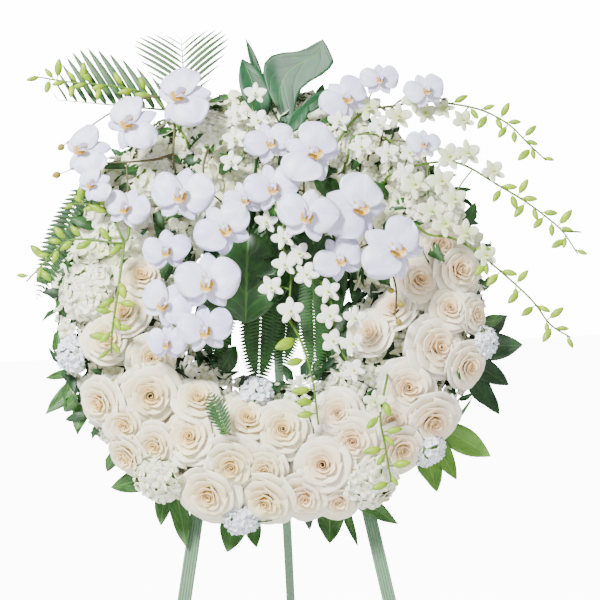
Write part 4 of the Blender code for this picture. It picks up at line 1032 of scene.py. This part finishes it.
def floret(petals, wide, cup, crinkle, rows, columns):
    """A small flower of unit width: rounded petals round one eye."""
    parts = []
    for k in range(petals):
        def shape(across, along):
            reach = wide * np.sin(np.pi * np.clip(along, 0, 1) ** 1.25) ** 0.55 * 0.5
            y = reach * across
            z = cup * along ** 2 + crinkle * np.sin(6 * across + 2 * k) * along
            return 0.5 * along, y, z + 0.004 * k
        parts.append(moved(patch(shape, rows, columns), Matrix.Rotation(2 * math.pi * k / petals, 4, "Z")))
    return parts


def dome(radius, squash):
    """The rounded top of a head, from its pole down, as a surface to set florets on."""
    points, faces = [(0.0, 0.0, radius * squash)], []
    for ring in range(1, DOME_RINGS + 1):
        polar = DOME_STEP * ring
        for k in range(DOME_SIDES):
            turn = 2 * math.pi * k / DOME_SIDES
            out = radius * math.sin(polar)
            points.append((out * math.cos(turn), out * math.sin(turn), radius * squash * math.cos(polar)))
    for k in range(DOME_SIDES):
        n = (k + 1) % DOME_SIDES
        faces.append((0, 1 + k, 1 + n))
        for high in range(1, 1 + DOME_SIDES * (DOME_RINGS - 1), DOME_SIDES):
            low = high + DOME_SIDES
            faces.append((high + k, low + k, low + n, high + n))
    mesh = bpy.data.meshes.new("dome")
    mesh.from_pydata(points, [], faces)
    return mesh


hydrangea_floret = small_part("hydrangea_floret", floret(4, 0.52, 0.10, 0.012, 4, 3), 0.03)
stock_floret = small_part("stock_floret", floret(5, 0.48, 0.26, 0.05, 4, 4), 0.04)
for number, (name, rows) in enumerate(FLORET_HEADS.items()):
    is_stock = name.startswith("stock")
    florets, cores = [], []
    for turn, (x, y, radius) in enumerate(rows):
        centre, out = nest(x, y)
        stand = aim(centre, out)
        head = placed("head", dome(radius * MM * 0.94, HEAD_SQUASH + (0.30 if is_stock else 0.06)))
        head.data.transform(stand)
        florets.append(grown(head, strew, {
            "Part": stock_floret if is_stock else hydrangea_floret,
            "Spacing": 0.0080 if is_stock else 0.0112, "Size": 0.0150 if is_stock else 0.0235,
            "Vary": 0.22, "Tilt": 0.45, "Seed": 5 + number + 20 * turn,
            "Finish": STOCK_WHITE if is_stock else HYDRANGEA_WHITE,
        }))
        core = dome(radius * MM * 0.82, HEAD_SQUASH)
        core.transform(stand)
        cores += [core, mesh_of([rod([centre - out * STEM_REACH, centre], [0.0022, 0.0022])])]
    tone = STOCK_WHITE if is_stock else HYDRANGEA_WHITE
    ended(piece(f"{name}_florets", joined(*florets), tone), WREATH, "white_floret", name)
    ended(piece(f"{name}_core", joined(*cores), PALE_GREEN), WREATH, "leaf")
cleared(hydrangea_floret, stock_floret)


# The bed. Loose florets and short dark leaves are pushed into the foam wherever it would show
# between the larger flowers, and larger leaves hang a little over the ring's inner edge.
BED_RADIAL = 0.104
BED_BASE = 0.043


def bed(inner, outer, lift, start=0.0, end=360.0):
    """The foam's rounded top between two turns of its section and two angles of the ring."""
    def shape(across, along):
        round_angle = np.radians(start + (end - start) * along)
        tilt = np.radians((inner + outer) / 2 + (outer - inner) / 2 * across)
        far = RING_MID + BED_RADIAL * np.sin(tilt)
        return far * np.cos(round_angle), far * np.sin(round_angle), BED_BASE + lift * np.cos(tilt)
    mesh = mesh_of([patch(shape, 72, 8)])
    if mesh.polygons[4].normal.z < 0:
        mesh.flip_normals()
    return placed("bed", mesh)


bed_floret = small_part("bed_floret", floret(4, 0.54, 0.12, 0.012, 2, 2), 0.03)
bed_leaf = small_part("bed_leaf", [
    leaf_sheet(1.0, 0.42, arch=0.10, fold=0.25, belly=0.7, rows=4, columns=2, sweep=0.05),
], 0.02)


def lip_lobe(across, along):
    """One of the short lobes that stand up in a small orchid's middle."""
    return 0.16 * along, 0.09 * across * np.sin(np.pi * along) ** 0.6, 0.10 * along


small_orchid = small_part("small_orchid", floret(5, 0.42, 0.10, 0.02, 4, 4) + [
    moved(patch(lip_lobe, 3, 2), Matrix.Translation((0, 0, 0.03)) @ Matrix.Rotation(turn, 4, "Z"))
    for turn in (0.6, 2.7, 4.8)
], 0.02)
# The bed leaves and the inner leaves take the darkest green, which paints shade into the gaps between the
# flowers and along the ring's inner side.
for name, surface, part, spacing, size, tilt, seed, tone in (
    ("bed_leaves", bed(-82, 88, 0.036), bed_leaf, 0.0165, 0.034, 0.6, 3, DARK_GREEN),
    ("bed_florets", bed(-74, 80, 0.050), bed_floret, 0.0124, 0.0240, 0.5, 8, HYDRANGEA_WHITE),
    ("upper_small_orchids", bed(-70, 80, 0.064, 8, 172), small_orchid, 0.027, 0.046, 0.5, 21, IVORY_GREEN),
    ("upper_leaves", bed(-74, 84, 0.068, 6, 174), bed_leaf, 0.032, 0.046, 0.7, 33, FERN_GREEN),
    ("rim_sprigs", bed(72, 96, 0.044), bed_leaf, 0.030, 0.052, 0.5, 5, RIM_GREEN),
    ("inner_leaves", bed(-98, -60, 0.044), bed_leaf, 0.024, 0.056, 0.5, 12, DARK_GREEN),
):
    strewn = grown(surface, strew, {
        "Part": part, "Spacing": spacing, "Size": size, "Vary": 0.25, "Tilt": tilt, "Seed": seed,
        "Finish": tone,
    })
    ended(piece(name, strewn, tone), WREATH, "leaf" if part == bed_leaf else "white_floret")
cleared(bed_floret, bed_leaf, small_orchid)


# Moth orchids. Each bloom has two broad petals, three sepals behind them and a small lip,
# yellow and orange inside, and hangs by its stalk from an arching stem in the foam.
STEM_RADIUS = 0.0022
BLOOM_STALK = 0.0015
BUD_STALK = 0.0009
MOTH_BUD = 2.3
SPRAY_BUD = 4.4
MOTH_FACING = (0.6, 0.5, 0.05)
SMALL_FACING = (0.8, 0.6, 0.1)

orchid_skin, tree, shader = finish_of(
    "moth_orchid_petal", 0.42, Sheen_Weight=0.15, Subsurface_Weight=0.15, Subsurface_Scale=0.006,
)
cool = mottled(tree, srgb(240, 238, 253), srgb(206, 202, 242), 18.0)
fan = veined(tree, 0.0, 11.0, 0.05)
# The sunk veins and the groove along each petal's middle are painted a darker lilac: partly the petal's own
# veining, partly painted shade in the creases.
crease_shade = math_node(tree, "MULTIPLY", math_node(tree, "MAXIMUM", fan["Lines"], fan["Rib"]), 0.30)
tones = mixed(tree, crease_shade, cool["Colour"], srgb(190, 184, 232))
yellow = ranged(tree, fan["Tint"], 0.2, 0.5)
orange = ranged(tree, fan["Tint"], 0.6, 0.95)
specks = node(tree, "ShaderNodeTexNoise", {"Vector": own_place(tree), "Scale": 700.0, "Detail": 2.0})
speckled = math_node(tree, "MULTIPLY", ranged(tree, specks.outputs["Fac"], 0.56, 0.62), orange)
for share_of, colour in (
    (yellow, srgb(206, 160, 0)), (orange, srgb(184, 66, 0)), (speckled, srgb(90, 8, 4)),
):
    tones = mixed(tree, share_of, tones, colour)
tree.links.new(tones, shader.inputs["Base Color"])
bump(tree, shader, crease_shade, 0.5, -0.0012)

stem_green = leaf_finish("orchid_stem", srgb(52, 88, 4), srgb(90, 130, 8), srgb(80, 118, 12), 0.5)
stem_brown = leaf_finish("moth_stem", srgb(48, 40, 18), srgb(84, 80, 28), srgb(80, 74, 30), 0.5)

bud_skin, tree, shader = finish_of("orchid_bud", 0.4)
fresh = mottled(tree, srgb(158, 190, 0), srgb(102, 146, 0), 60.0)
bud_lines = veined(tree, 0.0, 3.0, 0.05)
tip_share = ranged(tree, bud_lines["Along"], 0.5, 1.0, 0.0, 0.35)
tipped = mixed(tree, tip_share, fresh["Colour"], srgb(88, 130, 8))
tree.links.new(mixed(tree, bud_lines["Tint"], tipped, srgb(136, 116, 26)), shader.inputs["Base Color"])
bump(tree, shader, fresh["Value"], 0.1, 0.0004)


def tepal(length, half, belly, full, back=0.0, cup=0.0, wave=0.0, phase=0.0, rows=10, columns=8, tint=0.0,
          lop=0.0):
    """A petal or sepal along +X, its face to +Z: round, creased along its middle, waved."""
    def shape(across, along):
        reach = half * np.sin(np.pi * np.clip(along, 0, 1) ** belly) ** full
        y = reach * (across + 0.10 * np.sin(2 * across + 3 * along + phase)) + lop * half * along ** 2
        z = cup * (along * (1 - along)) * 4 - back * along ** 2 - 0.20 * half * across ** 2 * along
        z = z - 0.11 * half * np.exp(-(across / 0.16) ** 2) * along * (1.15 - along)
        z = z + wave * np.sin(5 * across + 6 * along + phase) * along * np.abs(across)
        return length * along, y, z
    return patch(shape, rows, columns, tint)


def moth_bloom(width, draw):
    """One moth orchid of a width, facing +Z with its top to +Y."""
    parts = []

    def add(part, angle, lift, lean=0.0):
        stand = Matrix.Translation((0, 0, lift * width)) @ Matrix.Rotation(math.radians(angle), 4, "Z")
        parts.append(moved(part, stand @ Matrix.Rotation(lean, 4, "Y")))

    for angle, length, half in ((90, 0.47, 0.155), (-54, 0.45, 0.150), (-126, 0.45, 0.150)):
        add(tepal(length * width, half * width, 0.95, 0.62, 0.03 * width, 0.02 * width, 0.03 * width,
                  draw.uniform(0, 6)), angle, -0.020, 0.04)
    for angle, lop in ((4, 0.24), (176, -0.24)):
        add(tepal(0.52 * width, 0.310 * width, 1.04, 0.50, 0.02 * width, 0.05 * width, 0.060 * width,
                  draw.uniform(0, 6), 14, 12, lop=lop), angle + draw.uniform(-5, 5), 0.006, -0.05)
    for angle in (-14, -166):
        side = tepal(0.19 * width, 0.100 * width, 0.9, 0.55, -0.10 * width, 0.0, rows=8, columns=6)
        side["tint"] = np.clip(0.85 - 1.7 * side["along"], 0, 1)
        add(side, angle, 0.050, -0.80)
    for angle in (-40, -140):
        add(tepal(0.14 * width, 0.058 * width, 0.9, 0.6, rows=5, columns=4, tint=0.52), angle, 0.070, -0.50)
    middle = tepal(0.23 * width, 0.096 * width, 1.3, 0.70, -0.04 * width, 0.0, rows=8, columns=6)
    middle["tint"] = np.clip(0.98 - 0.70 * middle["along"], 0, 1)
    add(middle, -90, 0.066, -0.34)
    solids = [
        rod([(0, 0.005 * width, 0), (0, 0.002 * width, 0.07 * width), (0, -0.025 * width, 0.115 * width)],
            [0.042 * width, 0.040 * width, 0.024 * width], 8, 0.22),
        rod([(0, -0.03 * width, 0.03 * width), (0, -0.050 * width, 0.100 * width)],
            [0.040 * width, 0.022 * width], 6, 0.55),
    ]
    for hand in (-1, 1):
        solids.append(rod([
            (0, -0.19 * width, 0.12 * width), (hand * 0.025 * width, -0.22 * width, 0.13 * width),
            (hand * 0.055 * width, -0.205 * width, 0.14 * width),
        ], [0.006 * width, 0.004 * width, 0.002 * width], 4, 0.15))
    return parts, solids


def nearest(points, place):
    """The point of a route that lies closest to a place."""
    best = None
    for a, b in zip(points, points[1:]):
        run = b - a
        spot = a + run * max(0.0, min(1.0, (place - a).dot(run) / run.length_squared))
        if best is None or (spot - place).length < (best - place).length:
            best = spot
    return best


def smooth_line(points, steps=5):
    """A route's points with the bends between them rounded."""
    if len(points) < 3:
        return points
    ends = [points[0] * 2 - points[1]] + points + [points[-1] * 2 - points[-2]]
    out = []
    for a, b, c, d in zip(ends, ends[1:], ends[2:], ends[3:]):
        for k in range(steps):
            t = k / steps
            out.append(0.5 * (b * 2 + (c - a) * t + (a * 2 - b * 5 + c * 4 - d) * t * t
                              + (b * 3 - a - c * 3 + d) * t ** 3))
    return out + [points[-1]]


def facing(place, across, up, droop):
    """Where a bloom looks: out of the face, spread outward from the middle and drooping."""
    return Vector((place.x * across, place.y * up - droop, 1)).normalized()


def face(place, out, turn=0.0):
    """The matrix that stands a bloom's Z along out with its top up in view, then turns it."""
    across = Vector((math.sin(VIEW_TURN), math.cos(VIEW_TURN), 0)).cross(out).normalized()
    stand = Matrix((across, out.cross(across), out)).transposed().to_4x4()
    return Matrix.Translation(place) @ stand @ Matrix.Rotation(turn, 4, "Z")


def bud_parts(start, tip, radius, tint=0.0, slender=SPRAY_BUD):
    """A bud on its own thin stalk, and the stalk; slender is its length by its radius."""
    run = tip - start
    radius = 1.2 * radius
    length = slender * radius
    tip = start + run.normalized() * max(run.length, length / 0.8)
    neck = tip - run.normalized() * length
    bow = Vector((0, 0, 0.12 * (neck - start).length))
    stalk_points = [start + (neck - start) * s + bow * math.sin(math.pi * s) for s in (0, 0.3, 0.6, 1.0)]
    shares = (0.0, 0.10, 0.26, 0.44, 0.62, 0.80, 0.92, 1.0)
    girth = (0.20, 0.58, 0.90, 1.0, 0.92, 0.66, 0.38, 0.06)
    line = [neck + (tip - neck) * s for s in shares]
    return rod(line, [radius * g for g in girth], 8, tint), rod(stalk_points, [BUD_STALK] * 4, 5)


def route(start, points):
    """A stem's line on from its start, through points as they show."""
    return start + [sight(*p) for p in points]


def spray_orchid(width, draw, green):
    """One dendrobium bloom: three narrow sepals, two petals and a hooded lip."""
    parts = []
    for k, half in enumerate((0.150, 0.215, 0.145, 0.145, 0.215)):
        blade = tepal(0.54 * width, half * width, 0.95, 0.52, -0.08 * width, 0.02 * width, 0.03 * width,
                      draw.uniform(0, 6), 6, 4)
        blade["tint"] = np.clip(green * (1.25 - 1.05 * blade["along"]), 0, 1)
        parts.append(moved(blade, Matrix.Rotation(math.radians(90 + 72 * k), 4, "Z")))
    hood = tepal(0.27 * width, 0.11 * width, 1.1, 0.6, -0.13 * width, 0.0, 0.03 * width, 0, 6, 4, green)
    hood["tint"] = np.clip(1.0 - 0.9 * hood["along"], green, 1)
    parts.append(moved(hood, Matrix.Translation((0, -0.01 * width, 0.03 * width))
                       @ Matrix.Rotation(math.radians(-90), 4, "Z") @ Matrix.Rotation(-0.5, 4, "Y")))
    throat = rod([(0, 0.01 * width, 0), (0, 0, 0.15 * width)], [0.055 * width, 0.035 * width], 6, 1.0)
    return parts, [throat]


def spray(name, stems, blooms=(), small=(), buds=(), green=0.0, beads=()):
    """A node's blooms, buds and stems; beads are rows of small buds: stem, first share, count."""
    draw = random.Random(name)

    def seat(place):
        found = [nearest(line_of, place) for line_of in stems]
        return min(found, key=lambda spot: (spot - place).length)

    sheets, solids, bud_solids, stalks = [], [], [], []
    for line_of in stems:
        smooth = smooth_line(line_of)
        count = len(smooth) - 1
        stalks.append(rod(smooth, [STEM_RADIUS * (1.08 - 0.46 * i / count) for i in range(count + 1)], 7))
    is_moth = bool(blooms)
    for x, y, w, width, turn in list(blooms) + list(small):
        place = sight(x, y, w)
        out = facing(place, *(MOTH_FACING if is_moth else SMALL_FACING))
        stand = face(place, out, math.radians(turn))
        if is_moth:
            parts, closed = moth_bloom(width * MM, draw)
        else:
            parts, closed = spray_orchid(width * MM, draw, green)
        sheets += [moved(part, stand) for part in parts]
        solids += [moved(part, stand) for part in closed]
        start = seat(place)
        behind = place - out * 0.012
        bend = (start + behind) / 2 + Vector((0, 0.004, 0))
        stalks.append(rod(smooth_line([start, bend, behind, place], 4), [BLOOM_STALK] * 13, 5))
    for x, y, w, radius in buds:
        place = sight(x, y, w)
        girth = radius * MM * draw.uniform(0.9, 1.1)
        body, stalk_of = bud_parts(
            seat(place), place, girth, 0.9 * is_moth, MOTH_BUD if is_moth else SPRAY_BUD,
        )
        bud_solids.append(body)
        stalks.append(stalk_of)
    for which, first, count in beads:
        smooth = smooth_line(stems[which])
        for k in range(count):
            share = first + (0.985 - first) * k / (count - 1)
            at = min(len(smooth) - 2, int(share * (len(smooth) - 1)))
            run = (smooth[at + 1] - smooth[at]).normalized()
            side = run.cross(Vector((0, 0, 1))).normalized() * (0.014 if k % 2 else -0.008)
            tip = smooth[at] + side * draw.uniform(0.8, 1.4) + run * 0.016 + Vector((0, 0, 0.004))
            body, stalk_of = bud_parts(smooth[at], tip, (0.0062 - 0.0030 * share) * draw.uniform(0.9, 1.1))
            bud_solids.append(body)
            stalks.append(stalk_of)
    if sheets:
        skin, slot_of = (orchid_skin, "moth_orchid_petal") if is_moth else (spray_skin, "dendrobium_petal")
        flowers = piece(f"{name}_blooms", joined(mesh_of(sheets, PETAL_THICK), mesh_of(solids)), skin)
        ended(flowers, WREATH, slot_of, name)
    if bud_solids:
        ended(piece(f"{name}_buds", mesh_of(bud_solids), bud_skin), WREATH, "orchid_bud", name)
    stem_tone = stem_brown if is_moth else stem_green
    ended(piece(f"{name}_stems", mesh_of(stalks), stem_tone), WREATH, "orchid_bud", name)


spray("moth_orchids_left", [
    route(root(-150, 200), [(-160, 250, 144), (-160, 330, 150), (-200, 345, 152), (-260, 320, 152),
                            (-305, 290, 150)]),
    route([sight(-160, 250, 144)], [(-200, 240, 150), (-290, 235, 150)]),
], blooms=[
    (-144, 344, 170, 98, -75), (-228, 300, 184, 92, -60), (-304, 256, 168, 84, -80),
    (-236, 162, 166, 72, -20), (-290, 200, 176, 58, -60),
], buds=[(-350, 258, 158, 5), (-359, 214, 160, 5)])
spray("moth_orchids_centre_left", [
    route(root(-95, 225), [(-110, 225, 150), (-100, 190, 160), (-50, 150, 160)]),
], blooms=[
    (-145, 184, 184, 98, -10), (-76, 128, 200, 92, 35), (-42, 176, 174, 66, 20),
])
spray("moth_orchids_left_low", [
    route(root(-190, 96), [(-170, 90, 150), (-130, 60, 155), (-120, 0, 152), (-140, -50, 150)]),
], blooms=[
    (-170, 92, 180, 74, 5), (-103, 40, 194, 100, 0), (-172, 4, 172, 80, -35),
    (-107, -38, 178, 84, 8), (-170, -60, 162, 62, 0),
])
spray("moth_orchids_centre", [
    route(root(25, 238), [(40, 250, 150), (55, 215, 172), (55, 150, 178)]),
], blooms=[
    (0, 270, 178, 78, 20), (68, 252, 204, 100, 62), (4, 196, 192, 86, 15), (62, 150, 210, 94, -12),
])
spray("moth_orchids_right", [
    route(root(140, 180), [(150, 175, 150), (170, 130, 165), (190, 90, 165), (208, 30, 162),
                           (206, -16, 158)]),
], blooms=[
    (142, 162, 186, 108, 62), (203, 94, 200, 106, 56), (114, 78, 174, 78, 30),
], buds=[(195, 26, 170, 4), (222, 2, 168, 4), (216, -32, 163, 4)])
spray("moth_orchids_top_right", [
    route(root(160, 215), [(180, 260, 130), (195, 320, 128), (240, 350, 128), (290, 340, 128)]),
    route([sight(195, 320, 128)], [(150, 350, 124), (130, 358, 122)]),
], blooms=[
    (181, 374, 148, 62, 0), (256, 356, 150, 66, 20), (124, 342, 138, 80, 40), (254, 268, 160, 54, 0),
])


# Dendrobium. Long arching sprays: the open ones ivory with a green throat, the outer ones
# mostly in bud, yellow-green and smaller towards the tip.
spray_skin, tree, shader = finish_of(
    "dendrobium_petal", 0.45, Sheen_Weight=0.15, Subsurface_Weight=0.12, Subsurface_Scale=0.004,
)
ivory = mottled(tree, srgb(250, 250, 240), srgb(240, 242, 220), 50.0, 0.8)
fan = veined(tree, 0.0, 5.0, 0.08)
tree.links.new(mixed(tree, fan["Tint"], ivory["Colour"], srgb(176, 198, 52)), shader.inputs["Base Color"])
bump(tree, shader, math_node(tree, "MAXIMUM", fan["Lines"], fan["Rib"]), 0.12, -0.0004)

spray("dendrobium_right_top", [
    route(root(105, 228), [(151, 318, 118), (204, 330, 112), (250, 338, 108), (310, 332, 112),
                           (355, 321, 120), (396, 298, 126), (426, 268, 130), (456, 240, 132)]),
], small=[(257, 318, 124, 38, 10), (318, 306, 126, 36, 40), (239, 340, 128, 44, 30), (212, 312, 132, 44, 0),
          (162, 327, 130, 46, 20), (286, 326, 122, 36, 60)],
    buds=[(385, 318, 128, 5), (431, 290, 132, 5), (380, 282, 130, 5), (420, 250, 134, 5),
          (345, 296, 126, 5)], green=0.6, beads=[(0, 0.55, 9)])
spray("dendrobium_right_mid", [
    route(root(190, 180), [(241, 232, 140), (310, 236, 142), (379, 198, 142), (419, 174, 142),
                           (452, 150, 140), (482, 124, 138), (508, 86, 136)]),
    route([sight(482, 124, 138)], [(514, 122, 138)]),
], small=[(326, 252, 152, 42, 10), (368, 222, 152, 38, 30), (282, 206, 158, 46, 20), (266, 156, 162, 44, 0),
          (238, 200, 156, 46, 40), (296, 246, 150, 44, 60), (304, 176, 156, 42, 15)],
    buds=[(368, 172, 146, 5), (415, 192, 146, 5), (406, 150, 146, 5), (440, 134, 146, 5),
          (482, 140, 142, 5), (474, 102, 142, 5)], green=0.5, beads=[(0, 0.50, 9)])
spray("dendrobium_right_low", [
    route(root(232, 100), [(262, 118, 146), (300, 112, 150), (334, 94, 150), (367, 69, 148),
                           (430, 12, 144), (462, -30, 140), (496, -52, 138)]),
], small=[(323, 120, 158, 42, 0), (288, 136, 158, 42, 40), (356, 84, 156, 36, 20)],
    buds=[(351, 66, 152, 5), (366, 42, 152, 5), (415, 47, 150, 5), (402, 14, 150, 5),
          (426, -8, 148, 5), (472, -12, 144, 5), (456, -50, 144, 5)], green=0.6, beads=[(0, 0.52, 8)])
spray("dendrobium_left_top", [
    route(root(-130, 240), [(-155, 300, 122), (-190, 343, 122), (-230, 358, 124), (-291, 366, 128),
                            (-334, 370, 130), (-390, 379, 132)]),
], buds=[(-327, 356, 134, 5), (-308, 384, 134, 5), (-283, 350, 132, 5), (-366, 364, 136, 5),
         (-350, 384, 136, 5)], beads=[(0, 0.45, 11)])
spray("dendrobium_left_low", [
    route(root(-218, 108), [(-240, 105, 156), (-300, 110, 152), (-334, 107, 148), (-359, 85, 144),
                            (-402, 40, 136)]),
    route([sight(-240, 105, 156)], [(-250, 30, 160), (-260, -40, 156), (-262, -78, 152)]),
    route([sight(-240, 105, 156)], [(-272, 160, 152), (-333, 170, 146)]),
], buds=[(-345, 118, 150, 5), (-382, 88, 144, 5), (-368, 48, 144, 5), (-236, 4, 162, 5),
         (-273, -8, 160, 5), (-240, -36, 158, 5), (-276, -50, 156, 5), (-312, 186, 152, 5)],
    beads=[(0, 0.35, 10), (1, 0.30, 6), (2, 0.40, 5)])
spray("dendrobium_right_hanging", [
    route(root(186, -140), [(182, -180, 158), (190, -230, 156), (200, -290, 150)]),
], small=[(172, -158, 164, 34, 0)],
    buds=[(205, -205, 160, 5), (172, -238, 158, 5), (208, -262, 156, 5), (184, -296, 154, 5)], green=0.5,
    beads=[(0, 0.40, 5)])
spray("dendrobium_centre", [
    route(root(48, 200), [(20, 118, 158), (34, 60, 158), (30, -20, 156)]),
    route([sight(34, 60, 158)], [(92, 30, 158), (112, -60, 154), (138, -108, 152)]),
    route([sight(30, -20, 156)], [(52, -60, 154), (70, -120, 152), (80, -196, 148)]),
], small=[
    (-6, 138, 164, 36, 0), (22, 112, 172, 36, 20), (48, 86, 164, 36, 40), (24, 68, 178, 38, 10),
    (2, 30, 166, 38, 30), (34, -8, 172, 40, 5), (60, 52, 170, 38, 50), (96, 24, 166, 38, 15),
    (98, -16, 174, 38, 35), (140, -20, 164, 36, 0), (104, -58, 164, 36, 60), (136, -62, 172, 36, 20),
    (138, -106, 162, 34, 45),
], buds=[(42, -92, 160, 5), (50, -140, 156, 5), (66, -158, 156, 5), (52, -180, 154, 5),
         (36, -58, 162, 7)])
spray("dendrobium_top_left", [
    route(root(-68, 214), [(-52, 240, 138), (-38, 280, 138), (-24, 350, 132)]),
], small=[
    (-24, 350, 144, 36, 0), (-54, 318, 150, 36, 20), (-20, 306, 142, 36, 40), (-58, 276, 142, 38, 10),
    (-22, 262, 150, 38, 30), (-64, 238, 152, 34, 0),
])
spray("dendrobium_top_right", [
    route(root(122, 200), [(128, 240, 138), (138, 280, 138), (190, 278, 140), (226, 240, 140)]),
], small=[
    (114, 304, 146, 36, 0), (150, 262, 154, 38, 20), (180, 298, 150, 36, 40), (194, 252, 148, 38, 10),
    (222, 218, 156, 38, 30), (230, 252, 147, 34, 50),
])
